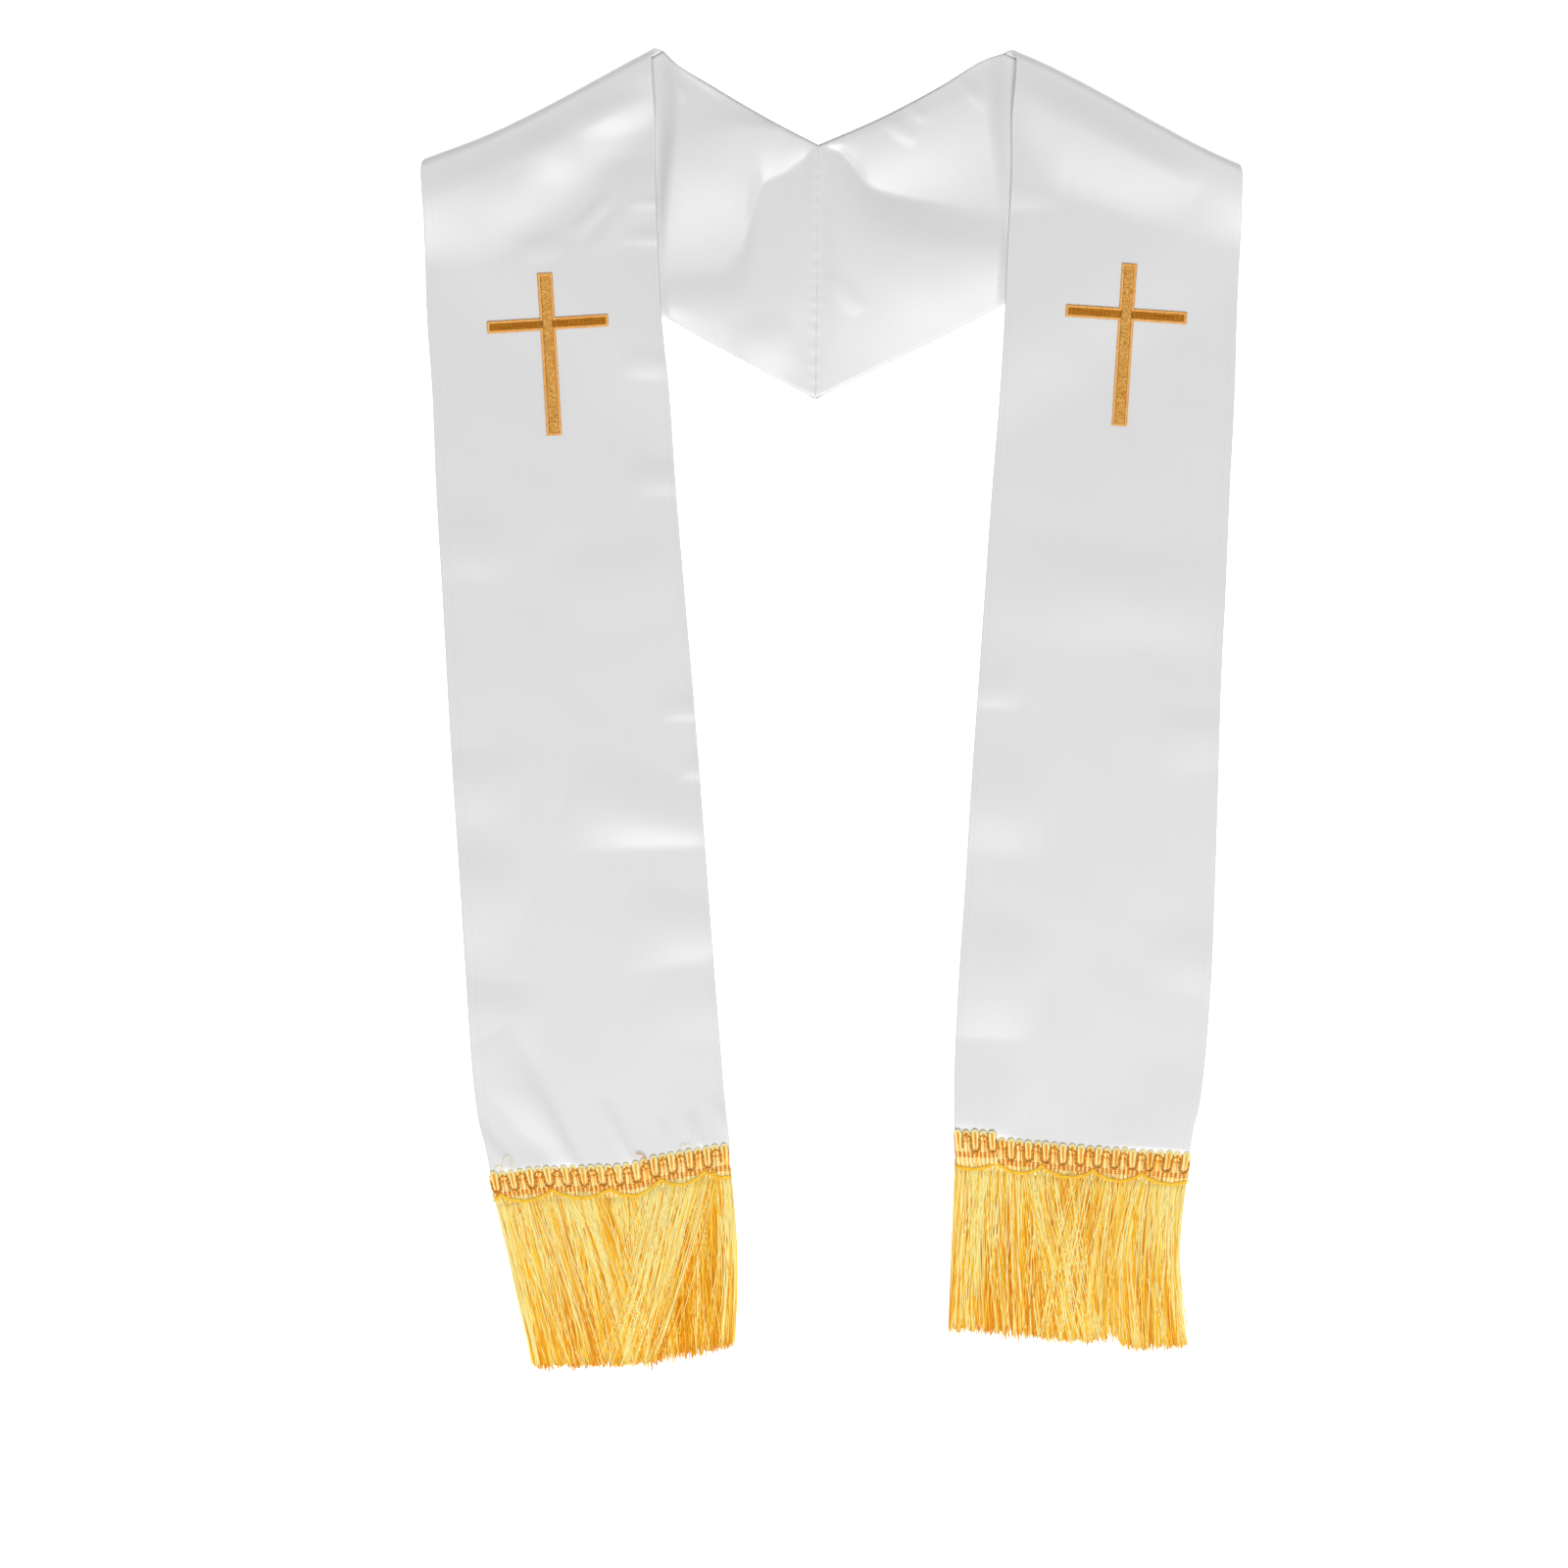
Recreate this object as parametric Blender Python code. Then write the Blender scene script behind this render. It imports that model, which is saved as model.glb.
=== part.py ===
# Clerical stole, laid flat: two satin bands that meet at the centre back and fold over at the shoulders.
#
# X runs across the stole, +Y from the fringes to the neck and +Z up from the table. The origin is under its middle.
# Sizes are in millimetres, and MM turns them into metres where a mesh is made.
# Each band is a wall through sections that run from the centre seam out to the shoulder, round the fold and
# down to the hem, so the front panel lies on top of the neck stretch. Braid, crosses and fringe lie on or beside it.

import math

import bpy
import numpy as np

MM = 0.001

# Walls and the gap that keeps neighbouring pieces apart
FACE_WALL = 1.2
LINING_WALL = 1.0
GAP = 0.3
LINING_SET_BACK = 1.0

# The soft roll at each shoulder fold
ROLL_RADIUS = 4.0
ROLL_LEAN_DEG = 31.8
ROLL_STEPS_DEG = (-60.0, -30.0, 0.0, 30.0, 60.0)
CROWN_WIDTH = 18.0
CROWN_EASE = 50.0

# How the front comes down from the neck stretch to the table
EDGE_CLEARANCE = 8.0
EDGE_EASE = 60.0

# Sections
ACROSS = 13
NECK_SECTIONS = 14
FRONT_CLOSE_STEP = 8.5
FRONT_CLOSE_LENGTH = 170.0
FRONT_FAR_SECTIONS = 7

# Each half in plan. The left one leans a little more than the right, as it lies.
# fold: share of the way from the neckline to the outer edge, x, y
# neckline and neck_edge: share of the way from the centre seam to the shoulder, x, y
# front: y, x of the outer edge, x of the edge beside the opening
# braid: the four corners as top outer, top inner, bottom inner, bottom outer
# fringe_end: share from the outer side, x, y
# fringe_waist: how far halfway down the strands stand to +X, at the outer side and at the inner side
# cross: x and y of the crossing, lean of the upright in degrees
PLANS = {
    "left": {
        "fold": ((0.0, -97.4, 359.8), (0.7, -186.2, 313.5), (1.0, -223.4, 299.2)),
        "neckline": ((0.0, -8.0, 307.1), (0.3, -34.8, 321.0), (0.62, -64.2, 338.1), (0.88, -85.1, 351.0)),
        "neck_edge": ((0.0, -9.6, 168.0), (0.39, -94.2, 214.5)),
        "front": (
            (290.0, -224.2, -97.0),
            (258.0, -223.0, -95.8),
            (215.0, -221.8, -93.6),
            (172.0, -218.8, -89.3),
            (119.0, -216.7, -85.6),
            (65.0, -213.5, -81.1),
            (12.0, -210.6, -76.5),
            (-42.0, -207.4, -72.2),
            (-95.0, -203.8, -68.3),
            (-149.0, -200.4, -64.2),
            (-202.0, -196.6, -60.0),
            (-237.0, -192.0, -57.2),
        ),
        "braid": ((-188.6, -253.8), (-56.8, -237.5), (-55.8, -255.7), (-184.6, -270.6)),
        "fringe_end": ((0.0, -164.0, -359.2), (0.47, -111.8, -357.4), (0.8, -75.4, -352.0), (1.0, -53.5, -346.7)),
        "fringe_waist": (0.0, 2.4),
        "cross": (-155.7, 209.3, 3.4),
    },
    "right": {
        "fold": ((0.0, 97.9, 359.0), (0.16, 118.0, 350.2), (0.83, 206.5, 303.3), (1.0, 221.6, 296.6)),
        "neckline": ((0.0, -8.0, 307.1), (0.3, 24.4, 321.0), (0.62, 58.5, 338.8), (0.88, 83.0, 353.4)),
        "neck_edge": ((0.0, -9.6, 168.0), (0.4, 93.6, 219.9)),
        "front": (
            (290.0, 224.2, 95.6),
            (258.0, 222.6, 94.4),
            (215.0, 220.6, 93.6),
            (172.0, 219.4, 91.0),
            (119.0, 216.7, 86.7),
            (65.0, 214.5, 82.9),
            (12.0, 211.9, 79.2),
            (-42.0, 210.3, 75.4),
            (-95.0, 208.7, 72.2),
            (-149.0, 206.5, 68.5),
            (-202.0, 202.2, 66.0),
            (-230.0, 198.2, 65.3),
        ),
        "braid": ((195.8, -242.9), (65.6, -232.5), (67.0, -250.9), (193.1, -260.5)),
        "fringe_end": (
            (0.0, 193.6, -347.4),
            (0.28, 154.5, -346.7),
            (0.38, 147.0, -341.5),
            (0.5, 132.0, -345.4),
            (0.75, 98.4, -341.3),
            (1.0, 63.1, -338.7),
        ),
        "fringe_waist": (-4.2, 0.0),
        "cross": (160.0, 214.5, -3.6),
    },
}
SIGNS = {"left": -1.0, "right": 1.0}

# Largest folds of the neck stretch, each a soft ridge that lifts it off the table
# side, start x, start y, end x, end y, half width, height
NECK_FOLDS = (
    ("left", -78.0, 326.0, -22.0, 296.0, 24.0, 4.6),
    ("left", -13.0, 262.0, -22.0, 186.0, 11.0, 2.6),
    ("left", -74.0, 258.0, -46.0, 236.0, 17.0, 2.2),
    ("right", 30.0, 312.0, 80.0, 318.0, 22.0, 4.0),
    ("right", 6.0, 226.0, 78.0, 244.0, 20.0, 3.4),
    ("right", 0.0, 292.0, -2.0, 200.0, 7.0, 1.6),
)
FOLD_CLEARANCE = 9.0
FOLD_FADE = 22.0

# Crosses: the arm widths, and where the bar crosses
CROSS_LENGTH = 88.4
CROSS_ABOVE_BAR = 27.6
CROSS_SPAN = 66.0
UPRIGHT_WIDTH = 8.0
BAR_WIDTH = 6.4
BORDER_WIDTH = 1.3
BORDER_HEIGHT = 1.1
BORDER_EDGE_HEIGHT = 0.7
FILL_HEIGHT = 0.8

# Braid, its looped top edge and the gimp cord in it
BRAID_WALL = 1.2
BRAID_LOOP_PITCH = 4.85
BRAID_LOOP_RISE = 1.6
LOOP_SHAPE = (0.0, 1.0, 1.0)
CORD_WALL = 0.8
CORD_WIDTH = 1.3
CORD_TOP_SHARE = 0.16
CORD_FOOT_SHARE = 0.68
HEM_SHARE = 0.53
BRAID_END_LENGTH = 23.5
BRAID_END_SHIFT = 2.2

# Fringe
STRANDS = 100
STRAND_WIDTH = 0.8
STRAND_ROOT_DEPTH = 1.6
STRAND_RISE_LENGTH = 0.1
LOW_STRAND_HEIGHT = 0.62
HIGH_STRAND_HEIGHT = 1.75
STRAND_LENGTH_SPREAD = 1.6

# Finishes: base colour, roughness
FINISHES = {
    "white_satin": ((0.86, 0.86, 0.87), 0.38),
    "white_lining": ((0.86, 0.86, 0.87), 0.42),
    "gold_thread": ((0.62, 0.33, 0.09), 0.5),
    "border_thread": ((0.85, 0.46, 0.12), 0.45),
    "gold_braid": ((0.95, 0.6, 0.12), 0.55),
    "brown_cord": ((0.32, 0.14, 0.03), 0.6),
    "gold_fringe": ((0.98, 0.62, 0.13), 0.45),
}


def smooth(value):
    """A soft step from 0 to 1."""
    held = np.clip(value, 0.0, 1.0)
    return held * held * (3.0 - 2.0 * held)


def point_at(rows, share):
    """The plan point of a table of share, x and y."""
    table = np.array(rows)
    return np.array([np.interp(share, table[:, 0], table[:, 1]), np.interp(share, table[:, 0], table[:, 2])])


def between(start, end, shares):
    """Points on the straight line from start to end, one for each share."""
    return start + np.outer(shares, end - start)


def fold_directions(side):
    """Unit vectors in plan: from the fold into the stole, and along the fold from the neckline outwards."""
    start = point_at(PLANS[side]["fold"], 0.0)
    end = point_at(PLANS[side]["fold"][:2], 1.0)
    along = (end - start) / np.linalg.norm(end - start)
    inward = np.array([along[1], -along[0]]) * SIGNS[side]
    return inward, along


def roll_ring(side, angle_deg, radius, across):
    """One line of the roll: -90 degrees is its foot on the table and 90 its crown."""
    inward, along = fold_directions(side)
    angle = math.radians(angle_deg)
    slide = ROLL_RADIUS * math.tan(math.radians(ROLL_LEAN_DEG)) * angle
    fold = np.array([point_at(PLANS[side]["fold"], share) for share in across])
    plan = fold + inward * (ROLL_RADIUS - radius * math.cos(angle)) + along * slide
    height = ROLL_RADIUS + radius * math.sin(angle)
    return plan, np.full(len(across), height)


def inner_edge(side, y):
    """x of the front's edge beside the opening."""
    rows = np.array(PLANS[side]["front"])[::-1]
    return np.interp(y, rows[:, 0], rows[:, 2])


def outer_edge(side, y):
    """x of the front's outer edge."""
    rows = np.array(PLANS[side]["front"])[::-1]
    return np.interp(y, rows[:, 0], rows[:, 1])


def distance_to_segment(points, start, end):
    """How far each plan point is from the line between two points."""
    run = end - start
    share = np.clip((points - start) @ run / (run @ run), 0.0, 1.0)
    return np.linalg.norm(points - start - share[:, None] * run, axis=1)


def neck_lift(side, points):
    """How high the folds of the neck stretch hold it off the table. It lies flat under the front panel."""
    lift = np.zeros(len(points))
    for row_side, x0, y0, x1, y1, half_width, height in NECK_FOLDS:
        if row_side == side:
            far = distance_to_segment(points, np.array([x0, y0]), np.array([x1, y1]))
            lift += height * (1.0 - smooth(far / (2.0 * half_width)))
    beside_front = (inner_edge(side, points[:, 1]) - points[:, 0]) * SIGNS[side]
    return lift * smooth((beside_front - FOLD_CLEARANCE) / FOLD_FADE)


def neck_ring(side, share, across):
    """Plan points across the neck stretch, at this share of the way from the seam to the shoulder."""
    foot = roll_ring(side, -90.0, ROLL_RADIUS, across)[0]
    neckline = PLANS[side]["neckline"] + ((1.0, *foot[0]),)
    neck_edge = PLANS[side]["neck_edge"] + ((1.0, *foot[-1]),)
    ring = between(point_at(neckline, share), point_at(neck_edge, share), across)
    bow = foot - between(foot[0], foot[-1], across)
    ring += bow * share**4
    ring[:, 0] += SIGNS[side] * GAP / 2.0 * (1.0 - share)
    return ring


def hem_corners(side):
    """The cloth's outer and inner hem corners, which lie under the middle of the braid."""
    top_outer, top_inner, low_inner, low_outer = np.array(PLANS[side]["braid"])
    outer = top_outer + (low_outer - top_outer) * HEM_SHARE
    inner = top_inner + (low_inner - top_inner) * HEM_SHARE
    return outer, inner


def front_ring(side, share, across):
    """Plan points across the front, at this share of the way from the crown of the roll to the hem."""
    crown = roll_ring(side, 90.0, ROLL_RADIUS, across)[0]
    hem_outer, hem_inner = hem_corners(side)
    y_inner = crown[0][1] + (hem_inner[1] - crown[0][1]) * share
    y_outer = crown[-1][1] + (hem_outer[1] - crown[-1][1]) * share
    near_crown = 1.0 - smooth(share * (crown[0][1] - hem_inner[1]) / (2.0 * CROWN_WIDTH))
    near_hem = smooth((share - 0.93) / 0.07)
    start_inner = crown[0][0] - inner_edge(side, crown[0][1])
    start_outer = crown[-1][0] - outer_edge(side, crown[-1][1])
    end_inner = hem_inner[0] - inner_edge(side, hem_inner[1])
    end_outer = hem_outer[0] - outer_edge(side, hem_outer[1])
    x_inner = inner_edge(side, y_inner) + start_inner * near_crown + end_inner * near_hem
    x_outer = outer_edge(side, y_outer) + start_outer * near_crown + end_outer * near_hem
    ring = between(np.array([x_inner, y_inner]), np.array([x_outer, y_outer]), across)
    bow = crown - between(crown[0], crown[-1], across)
    return ring + bow * near_crown


def neck_stack_height():
    """The height of the front's lower side where it lies on the lined neck stretch."""
    return FACE_WALL + GAP + LINING_WALL + GAP


def front_height(side, points):
    """The height of the front's lower side: high at the roll, then on the neck stretch, then on the table."""
    inward = fold_directions(side)[0]
    visible_end = np.array(PLANS[side]["neck_edge"][1][1:])
    corner = roll_ring(side, -90.0, ROLL_RADIUS, np.array([1.0]))[0][0]
    run = (corner - visible_end) / np.linalg.norm(corner - visible_end)
    up = np.array([-run[1], run[0]]) * SIGNS[side]
    past_edge = -(points - visible_end) @ up
    rest = neck_stack_height() * (1.0 - smooth((past_edge - EDGE_CLEARANCE) / EDGE_EASE))
    from_fold = (points - point_at(PLANS[side]["fold"], 0.0)) @ inward
    crown = 1.0 - smooth((from_fold - CROWN_WIDTH) / CROWN_EASE)
    return rest + (2.0 * ROLL_RADIUS - FACE_WALL - rest) * crown


def material(name):
    """The named finish, made once."""
    found = bpy.data.materials.get(name)
    if found:
        return found
    colour, roughness = FINISHES[name]
    made = bpy.data.materials.new(name)
    made.use_nodes = True
    shader = made.node_tree.nodes["Principled BSDF"]
    shader.inputs["Base Color"].default_value = (*colour, 1.0)
    shader.inputs["Roughness"].default_value = roughness
    shader.inputs["Metallic"].default_value = 0.0
    made.diffuse_color = (*colour, 1.0)
    return made


def add_object(name, points, faces, finish):
    """A mesh object from points in millimetres, with its faces turned outwards."""
    mesh = bpy.data.meshes.new(name)
    mesh.from_pydata((np.array(points) * MM).tolist(), [], faces)
    corners = np.array([[mesh.vertices[i].co for i in face[:3]] for face in faces])
    if np.linalg.det(corners).sum() < 0:
        mesh.flip_normals()
    mesh.materials.append(material(finish))
    made = bpy.data.objects.new(name, mesh)
    bpy.context.scene.collection.objects.link(made)
    return made


def grid_faces(rows, columns, start=0):
    """Triangles over a grid of points, row by row, always cut along the same diagonal."""
    faces = []
    for row in range(rows - 1):
        for column in range(columns - 1):
            a = start + row * columns + column
            b = a + columns
            faces += [(a, a + 1, b + 1), (a, b + 1, b)]
    return faces


def slab(name, plan, low, high, faces, finish):
    """A closed plate over a plan mesh, between its low and high heights."""
    count = len(plan)
    points = np.vstack([np.column_stack([plan, high]), np.column_stack([plan, low])])
    edges = {(face[i], face[(i + 1) % 3]) for face in faces for i in range(3)}
    rim = sorted(edge for edge in edges if (edge[1], edge[0]) not in edges)
    shell = list(faces) + [tuple(i + count for i in reversed(face)) for face in faces]
    for a, b in rim:
        shell += [(b, a, a + count), (b, a + count, b + count)]
    return add_object(name, points, shell, finish)


def front_shares(side):
    """Where the front's sections lie: close together near the shoulder and far apart below."""
    crown = roll_ring(side, 90.0, ROLL_RADIUS, np.array([0.0]))[0][0]
    length = crown[1] - hem_corners(side)[1][1]
    close = np.arange(0.0, FRONT_CLOSE_LENGTH, FRONT_CLOSE_STEP)
    far = np.linspace(FRONT_CLOSE_LENGTH, length, FRONT_FAR_SECTIONS)
    return np.concatenate([close, far]) / length


def add_band(side):
    """The face band as one wall, through sections from the centre seam round the fold to the hem."""
    across = np.linspace(0.0, 1.0, ACROSS + 1)
    sections = []
    for share in np.linspace(0.0, 1.0, NECK_SECTIONS):
        plan = neck_ring(side, share, across)
        outside = np.column_stack([plan, neck_lift(side, plan)])
        sections.append((outside, outside + [0.0, 0.0, FACE_WALL]))
    for angle in ROLL_STEPS_DEG:
        outside = np.column_stack(roll_ring(side, angle, ROLL_RADIUS, across))
        inside = np.column_stack(roll_ring(side, angle, ROLL_RADIUS - FACE_WALL, across))
        sections.append((outside, inside))
    for share in front_shares(side):
        plan = front_ring(side, share, across)
        inside = np.column_stack([plan, front_height(side, plan)])
        sections.append((inside + [0.0, 0.0, FACE_WALL], inside))
    count = len(across)
    ring = 2 * count
    points = np.vstack([np.vstack([outside, inside[::-1]]) for outside, inside in sections])
    faces = []
    for section in range(len(sections) - 1):
        for step in range(ring):
            a = section * ring + step
            b = section * ring + (step + 1) % ring
            if step < count - 1 or step == ring - 1:
                faces += [(a, b, b + ring), (a, b + ring, a + ring)]
            else:
                faces += [(a, b, a + ring), (b, b + ring, a + ring)]
    last = (len(sections) - 1) * ring
    for step in range(count - 1):
        a, b, c, d = step, step + 1, ring - 2 - step, ring - 1 - step
        faces += [(a, c, b), (a, d, c)]
        faces += [(last + a, last + b, last + c), (last + a, last + c, last + d)]
    return add_object(f"{side}_band", points, faces, "white_satin")


def add_lining(side):
    """The lining of the neck stretch, on the band's own points and set back from its two long edges."""
    across = np.linspace(0.0, 1.0, ACROSS + 1)
    plans, heights = [], []
    for share in np.linspace(0.0, 1.0, NECK_SECTIONS):
        plan = neck_ring(side, share, across)
        lift = neck_lift(side, plan)
        width = np.linalg.norm(plan[-1] - plan[0])
        inset = across.copy()
        inset[0] += LINING_SET_BACK / width
        inset[-1] -= LINING_SET_BACK / width
        plans.append(np.column_stack([np.interp(inset, across, plan[:, axis]) for axis in (0, 1)]))
        heights.append(np.interp(inset, across, lift))
    plan = np.vstack(plans)
    low = np.concatenate(heights) + FACE_WALL + GAP
    faces = grid_faces(NECK_SECTIONS, len(across))
    return slab(f"{side}_lining", plan, low, low + LINING_WALL, faces, "white_lining")


def cross_cells(inset):
    """The cross as grid lines and filled cells, in its own frame, shrunk all round by the inset."""
    half_bar, half_upright = BAR_WIDTH / 2.0 - inset, UPRIGHT_WIDTH / 2.0 - inset
    top, foot = CROSS_ABOVE_BAR - inset, CROSS_ABOVE_BAR - CROSS_LENGTH + inset
    reach = CROSS_SPAN / 2.0 - inset
    xs = (-reach, -0.7 * reach, -0.4 * reach, -half_upright, half_upright, 0.4 * reach, 0.7 * reach, reach)
    ys = (foot, 0.83 * foot, 0.66 * foot, 0.5 * foot, 0.33 * foot, 0.16 * foot)
    ys += (-half_bar, half_bar, 0.5 * top, top)
    return np.array(xs), np.array(ys), half_bar, half_upright


def cross_outline(inset):
    """Points round the cross, shrunk all round by the inset, close enough to follow the cloth."""
    xs, ys, half_bar, half_upright = cross_cells(inset)
    right = [x for x in xs if x > half_upright]
    above = [y for y in ys if y > half_bar]
    below = [y for y in ys[::-1] if y < -half_bar]
    half = [(half_upright, y) for y in above[::-1]] + [(half_upright, half_bar)]
    half += [(x, half_bar) for x in right] + [(x, -half_bar) for x in right[::-1]]
    half += [(half_upright, -half_bar)] + [(half_upright, y) for y in below]
    return np.array(half + [(-x, y) for x, y in half[::-1]])


def place_cross(side, local):
    """Plan points of the cross on the front, and the height of the cloth under them."""
    x, y, lean_deg = PLANS[side]["cross"]
    lean = math.radians(lean_deg)
    turn = np.array([[math.cos(lean), math.sin(lean)], [-math.sin(lean), math.cos(lean)]])
    plan = local @ turn + [x, y]
    return plan, front_height(side, plan) + FACE_WALL + GAP


def add_cross_fill(side):
    """The filled part of the cross, inside its border."""
    xs, ys, half_bar, half_upright = cross_cells(BORDER_WIDTH + GAP)
    local = np.array([(x, y) for y in ys for x in xs])
    faces = []
    for row in range(len(ys) - 1):
        for column in range(len(xs) - 1):
            middle_x = abs(xs[column] + xs[column + 1]) / 2.0
            middle_y = abs(ys[row] + ys[row + 1]) / 2.0
            if middle_x < half_upright or middle_y < half_bar:
                a = row * len(xs) + column
                b = a + len(xs)
                faces += [(a, a + 1, b + 1), (a, b + 1, b)]
    used = sorted({index for face in faces for index in face})
    renumbered = {index: place for place, index in enumerate(used)}
    faces = [tuple(renumbered[index] for index in face) for face in faces]
    plan, low = place_cross(side, local[used])
    return slab(f"{side}_cross_fill", plan, low, low + FILL_HEIGHT, faces, "gold_thread")


def add_cross_border(side):
    """The satin-stitch border: a rounded bead all round the cross."""
    bead = (
        (0.0, 0.0),
        (0.0, BORDER_EDGE_HEIGHT),
        (BORDER_WIDTH / 2.0, BORDER_HEIGHT),
        (BORDER_WIDTH, BORDER_EDGE_HEIGHT),
        (BORDER_WIDTH, 0.0),
    )
    loops = []
    for inset, height in bead:
        plan, low = place_cross(side, cross_outline(inset))
        loops.append(np.column_stack([plan, low + height]))
    count = len(loops[0])
    faces = []
    for loop in range(len(bead)):
        for step in range(count):
            a = loop * count + step
            b = loop * count + (step + 1) % count
            c = (loop + 1) % len(bead) * count + step
            d = (loop + 1) % len(bead) * count + (step + 1) % count
            faces += [(a, b, d), (a, d, c)]
    return add_object(f"{side}_cross_border", np.vstack(loops), faces, "border_thread")


def braid_point(side, length_share, down_share):
    """A plan point of the braid: along it from the outer end, and down it from its top edge."""
    top_outer, top_inner, low_inner, low_outer = np.array(PLANS[side]["braid"])
    top = top_outer + (top_inner - top_outer) * length_share
    low = low_outer + (low_inner - low_outer) * length_share
    return top + (low - top) * down_share


def braid_length(side):
    """The length of the braid's top edge."""
    top_outer, top_inner = np.array(PLANS[side]["braid"][:2])
    return np.linalg.norm(top_inner - top_outer)


def braid_height(side):
    """The height of the braid, from its top edge down to the fringe."""
    return np.linalg.norm(braid_point(side, 0.5, 1.0) - braid_point(side, 0.5, 0.0))


def add_braid(name, side, start, end, low, shift):
    """A stretch of braid with a looped top edge, from one share of its length to another."""
    loops = round(braid_length(side) * (end - start) / BRAID_LOOP_PITCH)
    columns = loops * len(LOOP_SHAPE) + 1
    rise = BRAID_LOOP_RISE / braid_height(side)
    plan = []
    for down in (0.0, 0.5, 1.0):
        for column in range(columns):
            share = start + (end - start) * column / (columns - 1)
            loop = rise * (1.0 - LOOP_SHAPE[column % len(LOOP_SHAPE)]) if down == 0.0 else 0.0
            plan.append(braid_point(side, share, down + loop) + [0.0, shift])
    plan = np.array(plan)
    lows = np.full(len(plan), low)
    faces = grid_faces(3, columns)
    return slab(name, plan, lows, lows + BRAID_WALL, faces, "gold_braid")


def add_cord(name, side, start, end, low, shift):
    """The gimp cord: a square wave of flat cord along a stretch of braid."""
    waves = max(1, round(braid_length(side) * (end - start) / (2.0 * BRAID_LOOP_PITCH)))
    half_cord = CORD_WIDTH / 2.0
    half_share = half_cord / braid_length(side)
    half_down = half_cord / braid_height(side)
    step = (end - start - 2.0 * half_share) / (2 * waves - 1)
    upper, lower = [], []
    for leg in range(2 * waves):
        middle = start + half_share + step * leg
        rising = leg % 2 == 0
        near = CORD_FOOT_SHARE if rising else CORD_TOP_SHARE
        far = CORD_TOP_SHARE if rising else CORD_FOOT_SHARE
        turn = -half_share if rising else half_share
        upper += [(middle + turn, near - half_down), (middle + turn, far - half_down)]
        lower += [(middle - turn, near + half_down), (middle - turn, far + half_down)]
    upper[0] = (upper[0][0], CORD_FOOT_SHARE)
    lower[0] = (lower[0][0], CORD_FOOT_SHARE)
    upper[-1] = (upper[-1][0], CORD_FOOT_SHARE)
    lower[-1] = (lower[-1][0], CORD_FOOT_SHARE)
    plan = np.array([braid_point(side, *place) for place in upper + lower]) + [0.0, shift]
    lows = np.full(len(plan), low)
    faces = grid_faces(2, len(upper))
    return slab(name, plan, lows, lows + CORD_WALL, faces, "brown_cord")


def strand_points(side, index, spread):
    """Centre points of one strand, from its root in the heading tape to its cut end."""
    share = (index + 0.5) / STRANDS
    root_down = 1.0 - STRAND_ROOT_DEPTH / braid_height(side)
    root = braid_point(side, share, root_down)
    leave = braid_point(side, share, 1.0)
    end = point_at(PLANS[side]["fringe_end"], share) + [0.0, spread]
    run = end - leave
    high = HIGH_STRAND_HEIGHT if index % 2 else LOW_STRAND_HEIGHT
    middle = leave + run * 0.5
    middle[0] += np.interp(share, (0.0, 1.0), PLANS[side]["fringe_waist"])
    stations = (
        (root, FACE_WALL / 2.0),
        (leave + run * STRAND_RISE_LENGTH, high),
        (middle, high),
        (end, high),
    )
    return [np.array([*plan, height]) for plan, height in stations]


def add_fringe(side):
    """The heading tape with its cut strands, each three-sided and rooted in the tape."""
    ends = [0.0, 0.25, 0.5, 0.75, 1.0]
    tape_top = HEM_SHARE + GAP / braid_height(side)
    plan = np.array([braid_point(side, share, down) for down in (tape_top, 1.0) for share in ends])
    lows = np.zeros(len(plan))
    tape = slab(f"{side}_fringe", plan, lows, lows + FACE_WALL, grid_faces(2, len(ends)), "gold_fringe")
    lengths = np.random.default_rng(len(side)).uniform(0.0, STRAND_LENGTH_SPREAD, STRANDS)
    section = STRAND_WIDTH / 2.0 * np.array([(0.0, -1.0), (1.0, 0.6), (-1.0, 0.6)])
    points, faces = [], []
    for index in range(STRANDS):
        first = len(points)
        stations = strand_points(side, index, lengths[index])
        for station in stations:
            points += [station + [x, 0.0, z] for x, z in section]
        for ring in range(len(stations) - 1):
            for corner in range(3):
                a = first + ring * 3 + corner
                b = first + ring * 3 + (corner + 1) % 3
                faces += [(a, b, b + 3), (a, b + 3, a + 3)]
        last = first + 3 * (len(stations) - 1)
        faces += [(first, first + 2, first + 1), (last, last + 1, last + 2)]
    strands = add_object(f"{side}_strands", points, faces, "gold_fringe")
    strands.hide_render = True
    strands.display_type = "WIRE"
    union = tape.modifiers.new("roots", "BOOLEAN")
    union.operation = "UNION"
    union.object = strands
    return tape


def clear_scene():
    """Removes what the file opened with."""
    for old in list(bpy.data.objects):
        bpy.data.objects.remove(old, do_unlink=True)


def main():
    clear_scene()
    on_cloth = FACE_WALL + GAP
    on_braid = on_cloth + BRAID_WALL + GAP
    end_share = {side: 1.0 for side in PLANS}
    end_share["right"] = 1.0 - BRAID_END_LENGTH / braid_length("right")
    for side in PLANS:
        add_band(side)
        add_lining(side)
        add_cross_fill(side)
        add_cross_border(side)
        add_braid(f"{side}_braid", side, 0.0, 1.0, on_cloth, 0.0)
        cord_end = end_share[side] if side == "left" else end_share[side] - 0.01
        add_cord(f"{side}_braid_cord", side, 0.0, cord_end, on_braid, 0.0)
        add_fringe(side)
    add_braid("right_braid_end", "right", end_share["right"], 1.0, on_braid, BRAID_END_SHIFT)
    on_end = on_braid + BRAID_WALL + GAP
    add_cord("right_braid_end_cord", "right", end_share["right"], 1.0, on_end, BRAID_END_SHIFT)


main()
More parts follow.
